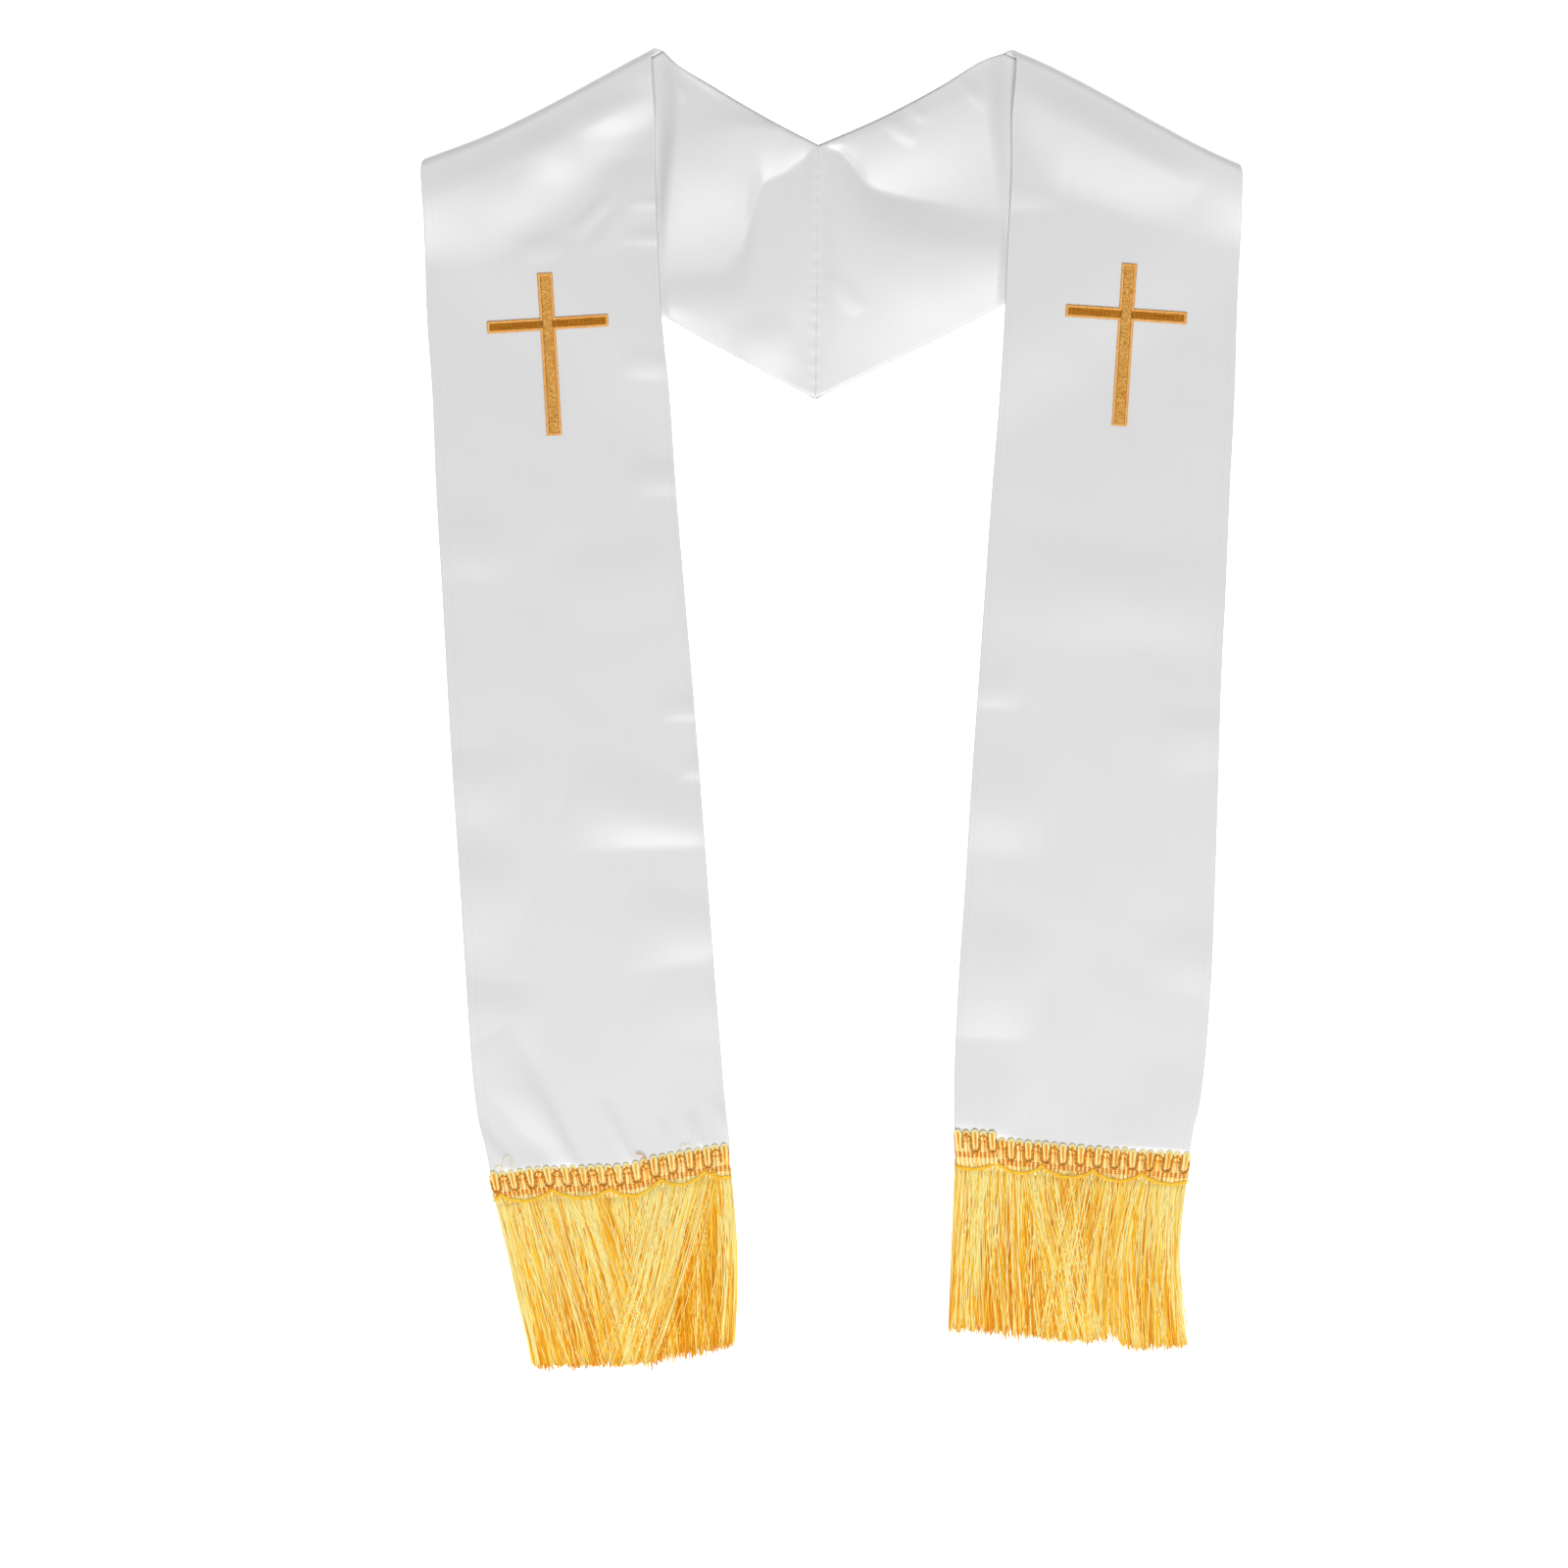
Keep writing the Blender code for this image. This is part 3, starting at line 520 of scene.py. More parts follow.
def add_sheet(name, middle, wall, nose=EDGE_NOSE):
    """A sheet of cloth whose middle lies on a grid of points: rows, columns, and x, y, z in millimetres.
    Its wall thins within the nose of its sides, of its first row and of its last one."""
    rows, columns = middle.shape[:2]
    bpy.ops.object.select_all(action="DESELECT")
    bpy.ops.mesh.primitive_grid_add(x_subdivisions=columns - 1, y_subdivisions=rows - 1, size=1.0)
    piece = bpy.context.object
    piece.name = piece.data.name = name
    mesh = piece.data
    flat = read(mesh.vertices, "co", 3)
    column = np.rint((flat[:, 0] + 0.5) * (columns - 1)).astype(int)
    row = np.rint((flat[:, 1] + 0.5) * (rows - 1)).astype(int)
    write(mesh.vertices, "co", middle[row, column] * MM)
    across = run_lengths(middle[rows // 2])
    along = run_lengths(middle[:, columns // 2])
    corner = read(mesh.loops, "vertex_index", kind=np.int32)
    write(mesh.uv_layers[0].data, "uv", np.stack([across[column[corner]], along[row[corner]]], axis=1) * MM)
    nearest = np.minimum(across, across[-1] - across)[column] / nose[0]
    nearest = np.minimum(nearest, np.minimum(along / nose[1], (along[-1] - along) / nose[2])[row])
    full = np.sqrt(1.0 - (1.0 - np.clip(nearest, 0.0, 1.0)) ** 2).round(3)
    group = piece.vertex_groups.new(name="full")
    for weight in np.unique(full):
        group.add(np.flatnonzero(full == weight).tolist(), float(max(weight, THINNEST)), "REPLACE")
    apply_modifier(piece, "SOLIDIFY", "wall", thickness=wall * MM, offset=0.0, vertex_group="full")
    piece.vertex_groups.clear()
    turn_outwards(piece)
    return piece


print("edge columns stand at", EDGE_STEPS, "mm from each edge")

# %% [markdown]
# Threads are everywhere on the trim: strands of fringe, loops of gimp, stitches. Curves with a bevel could
# make them, but they lose each thread's own shade when they become meshes. So a helper sweeps a small ring
# along many paths at once and writes two things that the finishes read: a shade for each thread, and a UV
# map that runs round and along it.

# %% Threads
def unit(vectors):
    """Vectors brought to a length of 1."""
    return vectors / (np.linalg.norm(vectors, axis=-1, keepdims=True) + 1e-9)


def sweep(paths, radius, sides, shade):
    """Closed tubes along paths in millimetres, shaped threads, points, 3. Returns the arrays of one batch."""
    paths = np.asarray(paths, float)
    count, steps = paths.shape[:2]
    radii = np.broadcast_to(np.asarray(radius, float), (count, steps))
    shades = np.asarray(shade, float)
    shades = np.broadcast_to(shades[:, None] if shades.ndim == 1 else shades, (count, steps))
    run = unit(np.gradient(paths, axis=1))
    across = unit(np.cross(run, [0.0, 0.0, 1.0]))
    up = np.cross(across, run)
    angles = 2.0 * math.pi * (np.arange(sides) + 0.25) / sides
    ring = np.cos(angles)[:, None] * across[:, :, None, :] + np.sin(angles)[:, None] * up[:, :, None, :]
    number = np.arange(count * steps * sides).reshape(count, steps, sides)
    here, there = number[:, :-1], number[:, 1:]
    quads = np.stack([here, there, np.roll(there, -1, axis=2), np.roll(here, -1, axis=2)], axis=-1)
    caps = np.concatenate([number[:, 0], number[:, -1, ::-1]])
    gone = np.cumsum(np.linalg.norm(np.diff(paths, axis=1, prepend=paths[:, :1]), axis=2), axis=1)
    start, end = (np.broadcast_to(at[:, :, None], here.shape) for at in (gone[:, :-1], gone[:, 1:]))
    turn = np.broadcast_to(np.arange(sides) / sides, here.shape)
    next_turn = turn + 1.0 / sides
    u = np.stack([turn, turn, next_turn, next_turn], axis=-1)
    v = np.stack([start, end, end, start], axis=-1)
    return {
        "points": (paths[:, :, None, :] + radii[:, :, None, None] * ring).reshape(-1, 3),
        "quads": quads.reshape(-1, 4),
        "caps": caps,
        "uv": np.stack([u.ravel(), v.ravel()], axis=1),
        "cap_uv": np.zeros((caps.size, 2)),
        "shade": np.broadcast_to(shades[:, :, None], number.shape).ravel(),
    }


def paint_shade(mesh, values):
    """Gives the points of a mesh the shade that its finish reads: one for each, or one for all."""
    attribute = mesh.attributes.new("shade", "FLOAT", "POINT")
    write(attribute.data, "value", np.broadcast_to(values, len(mesh.vertices)))


def new_piece(name, mesh):
    """Places a mesh in the scene as an object."""
    piece = bpy.data.objects.new(name, mesh)
    bpy.context.scene.collection.objects.link(piece)
    return piece


def add_threads(name, batches):
    """One mesh piece of many threads."""
    bases = np.cumsum([0] + [len(b["points"]) for b in batches])
    faces = [b[kind] + base for kind in ("quads", "caps") for b, base in zip(batches, bases)]
    sizes = np.concatenate([np.full(len(f), f.shape[1]) for f in faces])
    corners = np.concatenate([f.ravel() for f in faces])
    mesh = bpy.data.meshes.new(name)
    mesh.vertices.add(int(bases[-1]))
    write(mesh.vertices, "co", np.concatenate([b["points"] for b in batches]) * MM)
    mesh.loops.add(len(corners))
    write(mesh.loops, "vertex_index", corners, np.int32)
    mesh.polygons.add(len(sizes))
    write(mesh.polygons, "loop_start", np.cumsum(sizes) - sizes, np.int32)
    uv = np.concatenate([b[kind] for kind in ("uv", "cap_uv") for b in batches])
    write(mesh.uv_layers.new(name="UVMap").data, "uv", uv * [1.0, MM])
    paint_shade(mesh, np.concatenate([b["shade"] for b in batches]))
    mesh.update(calc_edges=True)
    return new_piece(name, mesh)


def uneven(rng, middle, spread, shape):
    """Shades that vary round a middle one, kept between 0 and 1."""
    return np.clip(middle + rng.normal(0.0, spread, shape), 0.0, 1.0)


print("a thread of 5 sides and 12 points has", 5 * 11 * 2 + 6, "triangles")

# %% [markdown]
# Two effects are shared by several finishes, so each is a node group: the weave of satin, whose long floats
# make fine ribs with a short dip wherever a thread goes under, and the twist of a thread, whose plies run
# round it in a slant. Groups hand out only heights and masks. The shader with its gloss and sheen stays in
# each material.

# %% Shared effects
# how far the streaks of the satin are drawn out across and along the cloth
SLUB_STRETCH = (900.0, 14.0, 1.0)


def new_group(name, inputs, outputs):
    """An empty node group with float or vector inputs and float outputs."""
    group = bpy.data.node_groups.new(name, "ShaderNodeTree")
    for label, kind, value in inputs:
        socket = group.interface.new_socket(label, in_out="INPUT", socket_type=kind)
        if value is not None:
            socket.default_value = value
    for label in outputs:
        group.interface.new_socket(label, in_out="OUTPUT", socket_type="NodeSocketFloat")
    return group, group.nodes.new("NodeGroupInput").outputs, group.nodes.new("NodeGroupOutput").inputs


def math_node(tree, operation, first, second=None, third=None):
    """A Math node fed by sockets or numbers. Returns its output."""
    made = tree.nodes.new("ShaderNodeMath")
    made.operation = operation
    for place, value in enumerate((first, second, third)):
        if isinstance(value, (int, float)):
            made.inputs[place].default_value = value
        elif value is not None:
            tree.links.new(value, made.inputs[place])
    return made.outputs[0]


def rib_wave(tree, turns):
    """A row of round ribs, one to each whole turn."""
    return math_node(tree, "ABSOLUTE", math_node(tree, "SINE", math_node(tree, "MULTIPLY", turns, math.pi)))


def held_at_one(tree, value, gain, softness):
    """A value times a gain, bent softly so that it stays below 1."""
    return math_node(tree, "SMOOTH_MIN", math_node(tree, "MULTIPLY", value, gain), 1.0, softness)


def split(tree, vector):
    """The x, y and z sockets of a vector."""
    made = tree.nodes.new("ShaderNodeSeparateXYZ")
    tree.links.new(vector, made.inputs[0])
    return made.outputs


def weave_group():
    """The weave of satin: ribs along u with short dips, and faint streaks."""
    inputs = (("Vector", "NodeSocketVector", None), ("Pitch", "NodeSocketFloat", 0.0004))
    inputs += (("Float length", "NodeSocketFloat", 5.0),)
    group, given, out = new_group("satin_weave", inputs, ("Height", "Slub"))
    u, v, _ = split(group, given["Vector"])
    thread = math_node(group, "DIVIDE", u, given["Pitch"])
    step = math_node(group, "MULTIPLY", math_node(group, "FLOOR", thread), 2.0)
    pick = math_node(group, "ADD", math_node(group, "DIVIDE", v, given["Pitch"]), step)
    phase = math_node(group, "FRACT", math_node(group, "DIVIDE", pick, given["Float length"]))
    dip = held_at_one(group, phase, 6.0, 0.3)
    group.links.new(math_node(group, "MULTIPLY", rib_wave(group, thread), dip), out["Height"])
    stretched = group.nodes.new("ShaderNodeVectorMath")
    stretched.operation = "MULTIPLY"
    stretched.inputs[1].default_value = SLUB_STRETCH
    group.links.new(given["Vector"], stretched.inputs[0])
    lines = group.nodes.new("ShaderNodeTexNoise")
    lines.inputs["Scale"].default_value = 1.0
    lines.inputs["Detail"].default_value = 2.0
    group.links.new(stretched.outputs[0], lines.inputs["Vector"])
    group.links.new(lines.outputs["Fac"], out["Slub"])
    return group


def twist_group():
    """The twist of a thread: round plies that run round it, and the grooves between them."""
    inputs = (("Vector", "NodeSocketVector", None), ("Plies", "NodeSocketFloat", 2.0))
    inputs += (("Turns per metre", "NodeSocketFloat", 600.0),)
    group, given, out = new_group("thread_twist", inputs, ("Height", "Groove"))
    u, v, _ = split(group, given["Vector"])
    round_it = math_node(group, "MULTIPLY", u, given["Plies"])
    ply = rib_wave(group, math_node(group, "MULTIPLY_ADD", v, given["Turns per metre"], round_it))
    group.links.new(ply, out["Height"])
    group.links.new(math_node(group, "SUBTRACT", 1.0, held_at_one(group, ply, 2.5, 0.4)), out["Groove"])
    return group


WEAVE, TWIST = weave_group(), twist_group()
print("node groups:", WEAVE.name, "and", TWIST.name)

# %% [markdown]
# The satin is white, but under soft light it reads as a pale grey that brightens where it slopes to the
# lamp. Its gloss is broad, so the roughness sits near the middle, and a little sheen lifts what is seen at
# a flat angle. Faint streaks along the warp keep the panels from looking like paper. A seam allowance
# pressed to the inside shows as a fine line a few millimetres in from each long edge.

# %% Satin
FACE_WHITE = (0.725, 0.725, 0.73)
LINING_WHITE = (0.755, 0.755, 0.76)
FRONT_WIDTH_M = 0.1333
WEAVE_PITCH = 0.00042
# the streaks are this much lighter and darker than the cloth, and a seam line this much darker
STREAK_LIGHT, STREAK_DARK, SEAM_DARK = 1.006, 0.992, 0.97
# how far in from the edge the line of the seam allowance lies, and half its width, in metres
SEAM_INSET, SEAM_LINE = 0.0029, 0.0006


def new_material(name, roughness, colour=(0.8, 0.8, 0.8), **uniform):
    """A material with its Principled shader. What is the same all over it is set on the shader's sockets."""
    made = bpy.data.materials.new(name)
    made.use_nodes = True
    shader = made.node_tree.nodes["Principled BSDF"]
    shader.inputs["Base Color"].default_value = (*colour, 1.0)
    shader.inputs["Roughness"].default_value = roughness
    for label, value in uniform.items():
        shader.inputs[label.replace("_", " ")].default_value = value
    return made, made.node_tree, shader


def uv_map(tree):
    """The piece's own UV map, which holds its real distances."""
    made = tree.nodes.new("ShaderNodeUVMap")
    made.uv_map = "UVMap"
    return made.outputs[0]


def use_group(tree, group, vector, **values):
    """Places a group in a material and feeds its vector. Returns its outputs."""
    made = tree.nodes.new("ShaderNodeGroup")
    made.node_tree = group
    tree.links.new(vector, made.inputs["Vector"])
    for label, value in values.items():
        made.inputs[label.replace("_", " ")].default_value = value
    return made.outputs


def ramp(tree, factor, stops):
    """A colour ramp: stops of position and colour."""
    made = tree.nodes.new("ShaderNodeValToRGB")
    while len(made.color_ramp.elements) < len(stops):
        made.color_ramp.elements.new(1.0)
    for element, (place, colour) in zip(made.color_ramp.elements, stops):
        element.position = place
        element.color = (*colour, 1.0)
    tree.links.new(factor, made.inputs["Fac"])
    return made.outputs["Color"]


def bump(tree, shader, height, strength, distance, below=None):
    """A Bump node into the shader's normal."""
    made = tree.nodes.new("ShaderNodeBump")
    made.inputs["Strength"].default_value = strength
    made.inputs["Distance"].default_value = distance
    tree.links.new(height, made.inputs["Height"])
    if below is not None:
        tree.links.new(below, made.inputs["Normal"])
    tree.links.new(made.outputs["Normal"], shader.inputs["Normal"])
    return made.outputs["Normal"]


def seam_lines(tree, shader, uv, white, colour, normal):
    """Presses a fine line into the cloth along both edges. Returns its colour."""
    u = split(tree, uv)[0]
    inner = math_node(tree, "ABSOLUTE", math_node(tree, "SUBTRACT", u, SEAM_INSET))
    outer = math_node(tree, "ABSOLUTE", math_node(tree, "SUBTRACT", u, FRONT_WIDTH_M - SEAM_INSET))
    line = math_node(tree, "DIVIDE", math_node(tree, "MINIMUM", inner, outer), SEAM_LINE)
    flat = math_node(tree, "SMOOTH_MIN", line, 1.0, 0.3)
    bump(tree, shader, flat, 0.18, 0.0002, below=normal)
    mix = tree.nodes.new("ShaderNodeMix")
    mix.data_type = "RGBA"
    tree.links.new(flat, mix.inputs["Factor"])
    mix.inputs["A"].default_value = (*[c * SEAM_DARK for c in white], 1.0)
    tree.links.new(colour, mix.inputs["B"])
    return mix.outputs["Result"]


def satin(name, white, roughness, has_seams):
    """A satin finish: broad gloss, weave, faint streaks, and seam lines where the edges show."""
    sheen = {"Specular_IOR_Level": 0.6, "Sheen_Weight": 0.3, "Sheen_Roughness": 0.4}
    made, tree, shader = new_material(name, roughness, white, **sheen)
    uv = uv_map(tree)
    weave = use_group(tree, WEAVE, uv, Pitch=WEAVE_PITCH)
    dark, light = ([c * tone for c in white] for tone in (STREAK_DARK, STREAK_LIGHT))
    colour = ramp(tree, weave["Slub"], ((0.3, dark), (0.7, light)))
    normal = bump(tree, shader, weave["Height"], 0.10, 0.00005)
    if has_seams:
        colour = seam_lines(tree, shader, uv, white, colour, normal)
    tree.links.new(colour, shader.inputs["Base Color"])
    return made


face_satin = satin("face_satin", FACE_WHITE, 0.30, True)
lining_satin = satin("lining_satin", LINING_WHITE, 0.31, False)
print("satin finishes:", face_satin.name, lining_satin.name)

# %% [markdown]
# Threads come in several golds. Their colour isn't even on the real trim: each strand catches the light its
# own way and the ones below lie in shade. So a ramp turns each thread's shade into its colour, deep orange
# at one end and pale straw at the other: painted light and shade, with some tone that differs at random. The
# twist paints shade into the groove between its plies, and some finishes glow faintly in their own colour,
# painted light that lifts the threads.

# %% Thread finishes
# painted shade: how much the groove between two plies darkens a thread's shade
PAINTED_GROOVE_SHADE = -0.22
DEEP, MID, GOLD, STRAW = (0.82, 0.30, 0.01), (0.97, 0.47, 0.014), (1.0, 0.65, 0.045), (1.0, 0.90, 0.38)


def thread_finish(name, stops, roughness, turns=600.0, depth=0.0001, sheen=0.2, painted_glow=0.0):
    """A finish of twisted thread, colour picked by a ramp from its shade; a painted glow adds painted light.
    """
    palest = (*stops[-1][1], 1.0)
    soft = {"Sheen_Weight": sheen, "Sheen_Roughness": 0.5, "Sheen_Tint": palest, "Specular_Tint": palest}
    made, tree, shader = new_material(name, roughness, Emission_Strength=painted_glow, **soft)
    shade = tree.nodes.new("ShaderNodeAttribute")
    shade.attribute_name = "shade"
    twist = use_group(tree, TWIST, uv_map(tree), Plies=2.0, Turns_per_metre=turns)
    darker = math_node(tree, "MULTIPLY_ADD", twist["Groove"], PAINTED_GROOVE_SHADE, shade.outputs["Fac"])
    colour = ramp(tree, darker, stops)
    tree.links.new(colour, shader.inputs["Base Color"])
    # painted light: the thread glows in its own colour, though it is no lamp
    if painted_glow > 0.0:
        tree.links.new(colour, shader.inputs["Emission Color"])
    bump(tree, shader, twist["Height"], 0.5, depth)
    return made


fringe_stops = ((0.0, DEEP), (0.3, MID), (0.6, GOLD), (1.0, STRAW))
# the fringe's last number is its painted glow, painted light
fringe_gold = thread_finish("fringe_gold", fringe_stops, 0.32, 900.0, 0.00006, 0.3, 0.1)
braid_stops = (
    (0.0, (0.70, 0.23, 0.015)),
    (0.3, (0.95, 0.42, 0.03)),
    (0.56, (1.0, 0.64, 0.11)),
    (0.85, (1.0, 0.90, 0.44)),
)
braid_gold = thread_finish("braid_gold", braid_stops, 0.5, painted_glow=0.03)
weft_stops = ((0.0, (0.62, 0.20, 0.02)), (1.0, (0.93, 0.38, 0.04)))
weft_orange = thread_finish("weft_orange", weft_stops, 0.55)
chain_stops = ((0.0, (0.96, 0.48, 0.02)), (1.0, (1.0, 0.73, 0.09)))
chain_yellow = thread_finish("chain_yellow", chain_stops, 0.45, painted_glow=0.1)
cord_stops = ((0.0, (0.40, 0.13, 0.01)), (0.5, (0.70, 0.27, 0.03)), (1.0, (0.95, 0.50, 0.09)))
cord_brown = thread_finish("cord_brown", cord_stops, 0.5)
upright_stops = ((0.0, (0.50, 0.20, 0.02)), (0.3, (0.76, 0.36, 0.05)), (1.0, (1.0, 0.64, 0.22)))
cross_gold = thread_finish("cross_gold", upright_stops, 0.4, sheen=0.1)
bar_stops = ((0.0, (0.36, 0.12, 0.01)), (1.0, (0.66, 0.28, 0.03)))
cross_bronze = thread_finish("cross_bronze", bar_stops, 0.4, sheen=0.1)
border_stops = ((0.0, (0.72, 0.30, 0.05)), (1.0, (1.0, 0.56, 0.17)))
cross_edge = thread_finish("cross_edge", border_stops, 0.42)
# the underlay's dark brown is partly painted shade, for the gaps between stitches
padding_and_gap_shade_stops = ((0.0, (0.34, 0.13, 0.02)), (1.0, (0.44, 0.19, 0.03)))
padding_brown = thread_finish("padding_brown", padding_and_gap_shade_stops, 0.8, sheen=0.0)
print("materials so far:", len(bpy.data.materials))

# %% [markdown]
# Now the two satin bands. On the real stole the face runs in one piece from the seam at the centre back,
# round the shoulder and down to the hem, so each band is one sheet here too. Under the front it lies flat
# on the lining.

# %% The satin bands
NECK_STEP = 3.0
FRONT_STEP = 2.1
# length of the neck stretch along its middle, about
NECK_LENGTH = 170.0
ROLL_ANGLES = np.arange(-75.0, 76.0, 15.0)
# the first rows of the front lie close together, and the creases come in over this distance from the crown
CLOSE_ROWS = (0.0, 0.8, 1.8, 3.0)
ROLL_EASE = 22.0


def band_middle(side):
    """The middle of the band's wall as rows of points, from the centre seam round the fold to the hem."""
    across = across_shares(FRONT_WIDTH_M / MM, FRONT_STEP)
    half_wall = FACE_WALL / 2.0
    rows = []
    for share in np.linspace(0.0, 1.0, int(NECK_LENGTH / NECK_STEP)):
        plan = neck_row(side, share, across)
        rows.append(np.column_stack([plan, neck_lift(side, plan) + half_wall]))
    for angle in ROLL_ANGLES:
        rows.append(np.column_stack(roll_row(side, angle, ROLL_RADIUS - half_wall, across)))
    length = PLANS[side]["fold"][0][2] - hem_corners(side)[1][1]
    even = np.linspace((CLOSE_ROWS[-1] + 2.0) / length, 1.0, int(length / FRONT_STEP))
    for share in np.concatenate([np.array(CLOSE_ROWS) / length, even]):
        plan = front_row(side, share, across)
        lift = front_lift(side, plan) * smooth(share * length / ROLL_EASE)
        rows.append(np.column_stack([plan, front_height(side, plan) + lift + half_wall]))
    return np.array(rows)


bands = {}
for side in PLANS:
    middle = band_middle(side)
    bands[side] = put_on(add_sheet(f"{side}_satin_band", middle, FACE_WALL), face_satin)
    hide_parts(f"{side}_band")
    print(f"  {side} band: {run_lengths(middle[:, middle.shape[1] // 2])[-1]:.0f} mm along its middle")

# %% [markdown]
# What shows between the fronts is the lining, sewn to the face along both edges and set back a little from
# them, so a thin line of the face shows past it. It follows the same swells. It stays under the front as
# far as the shoulder.

# %% The lining of the neck stretch
LINING_SET_BACK = 1.0
LINING_STEP = 1.6
# the two linings lean together at the centre seam by this much, over the first twentieth of their length
SEAM_CLOSE = 0.13
LINING_NOSE = (0.8, 0.06, 0.8)


def lining_middle(side):
    """The middle of the lining's wall, on the band and set back from its two long edges."""
    rows = []
    for share in np.linspace(0.0, 1.0, int(NECK_LENGTH / LINING_STEP)):
        ends = neck_row(side, share, np.array([0.0, 1.0]))
        inset = LINING_SET_BACK / np.linalg.norm(ends[1] - ends[0])
        across = inset + (1.0 - 2.0 * inset) * across_shares(FRONT_WIDTH_M / MM, LINING_STEP)
        plan = neck_row(side, share, across)
        plan[:, 0] -= SIGNS[side] * SEAM_CLOSE * (1.0 - smooth(share * 20.0))
        rows.append(np.column_stack([plan, neck_lift(side, plan) + FACE_WALL + GAP + LINING_WALL / 2.0]))
    close = [rows[0] + (rows[1] - rows[0]) * step for step in (0.05, 0.2, 0.5)]
    return np.array(rows[:1] + close + rows[1:])


linings = {}
for side in PLANS:
    sheet = add_sheet(f"{side}_neck_lining", lining_middle(side), LINING_WALL, LINING_NOSE)
    linings[side] = put_on(sheet, lining_satin)
    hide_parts(f"{side}_lining")

# %% [markdown]
# Each cross is machine embroidery. A raised satin-stitch border runs all round it: hundreds of short
# stitches, side by side, each arching over a core. Inside, the upright is filled with short speckled
# stitches and the bar with long darker ones, on a dark underlay. Its darkness is partly painted shade: it
# shows between the stitches and in a thin line inside the raised border, where shade falls. One stitch is
# modelled once, as a small arched thread, and copied along the border.

# %% The crosses
CROSS_LENGTH = 88.4
CROSS_ABOVE_BAR = 27.6
CROSS_SPAN = 66.0
UPRIGHT_WIDTH = 8.0
BAR_WIDTH = 6.4
BORDER_WIDTH = 1.3
# a gap inside the border where the dark underlay shows: painted shade for the line beside the raised border
DARK_LINE = 0.15
BORDER_PITCH, BORDER_RADIUS = 0.36, 0.21
FILL_PITCH, FILL_RADIUS, SHORTEST = 0.4, 0.24, 0.4
STITCH_SLIP = 0.05
# a stitch arches over its core: rows of share of its length and share of its rise
BORDER_ARCH = ((0.0, 0.30), (0.14, 0.78), (0.5, 1.0), (0.86, 0.78), (1.0, 0.30))
FILL_ARCH = ((0.0, 0.0), (0.18, 0.8), (0.5, 1.0), (0.82, 0.8), (1.0, 0.0))
# height of a stitch's foot above the cloth, and its rise
BORDER_LIFT, FILL_LIFT = (0.3, 0.6), (0.42, 0.26)
# the frame's fill is pressed down to a plate: what stands above the first height comes to the second, and
# the rest to the third
PLATE = (0.7, 0.42, 0.12)
# stitches of the upright and of the bar: length, slant, middle shade and its spread
UPRIGHT_FILL, BAR_FILL = (1.15, 0.22, 0.58, 0.24), (7.5, 0.0, 0.5, 0.16)


def on_cross(side, local, height):
    """Points in the cross's own frame, laid on the front at a height above the cloth."""
    x, y, lean_deg = PLANS[side]["cross"]
    lean = math.radians(lean_deg)
    turn = np.array([[math.cos(lean), math.sin(lean)], [-math.sin(lean), math.cos(lean)]])
    plan = local @ turn + [x, y]
    return np.concatenate([plan, (front_top(side, plan) + height)[..., None]], axis=-1)


def cross_reach(inset):
    """Half widths of the upright and the bar, top, foot and half span of the cross, shrunk by the inset."""
    widths = UPRIGHT_WIDTH / 2.0 - inset, BAR_WIDTH / 2.0 - inset
    return *widths, CROSS_ABOVE_BAR - inset, CROSS_ABOVE_BAR - CROSS_LENGTH + inset, CROSS_SPAN / 2.0 - inset


def cross_corners(inset):
    """The twelve corners of the cross, shrunk all round by the inset, clockwise from the top right."""
    w, b, top, foot, reach = cross_reach(inset)
    right = [(w, top), (w, b), (reach, b), (reach, -b), (w, -b), (w, foot)]
    return np.array(right + [(-x, y) for x, y in right[::-1]])


def stitches(side, starts, ends, arch, lift, radius, shades):
    """Arched stitches on a cross, from their starts to their ends."""
    share, rise = np.array(arch).T
    local = starts[:, None, :] + (ends - starts)[:, None, :] * share[:, None]
    height = np.broadcast_to(lift[0] + lift[1] * rise, local.shape[:2])
    return sweep(on_cross(side, local, height), radius, 4, shades)


def border_stitches(side, rng):
    """Stitches across the border, fanned at its corners."""
    outer, inner = cross_corners(0.0), cross_corners(BORDER_WIDTH)
    outs, ins = [], []
    for place in range(len(outer)):
        runs = [(line[place], line[(place + 1) % len(line)]) for line in (outer, inner)]
        count = round(max(np.linalg.norm(end - start) for start, end in runs) / BORDER_PITCH)
        for found, run in zip((outs, ins), runs):
            found.append(between(*run, (np.arange(count) + 0.5) / count))
    outs, ins = np.concatenate(outs), np.concatenate(ins)
    slip = rng.normal(0.0, STITCH_SLIP, (2, len(outs), 1))
    outs, ins = outs + slip[0] * (outs - ins), ins + slip[1] * (ins - outs)
    shades = uneven(rng, 0.62, 0.18, len(outs))
    return stitches(side, outs, ins, BORDER_ARCH, BORDER_LIFT, BORDER_RADIUS, shades)


def fill_stitches(side, rng, low, high, length, slant, shade, spread):
    """Rows of stitches along x that fill a box of the cross, staggered like bricks."""
    starts, ends = [], []
    for number, row in enumerate(np.arange(low[1] + FILL_PITCH / 2.0, high[1], FILL_PITCH)):
        for cut in np.arange(low[0] - length * (number % 3) / 3.0, high[0], length):
            a, b = max(cut, low[0]), min(cut + length, high[0])
            if b - a > SHORTEST:
                starts.append((a + STITCH_SLIP, row - slant / 2.0))
                ends.append((b - STITCH_SLIP, row + slant / 2.0))
    starts, ends = (np.array(p) + rng.normal(0.0, STITCH_SLIP, (len(p), 2)) for p in (starts, ends))
    shades = uneven(rng, shade, spread, len(starts))
    return stitches(side, starts, ends, FILL_ARCH, FILL_LIFT, FILL_RADIUS, shades)


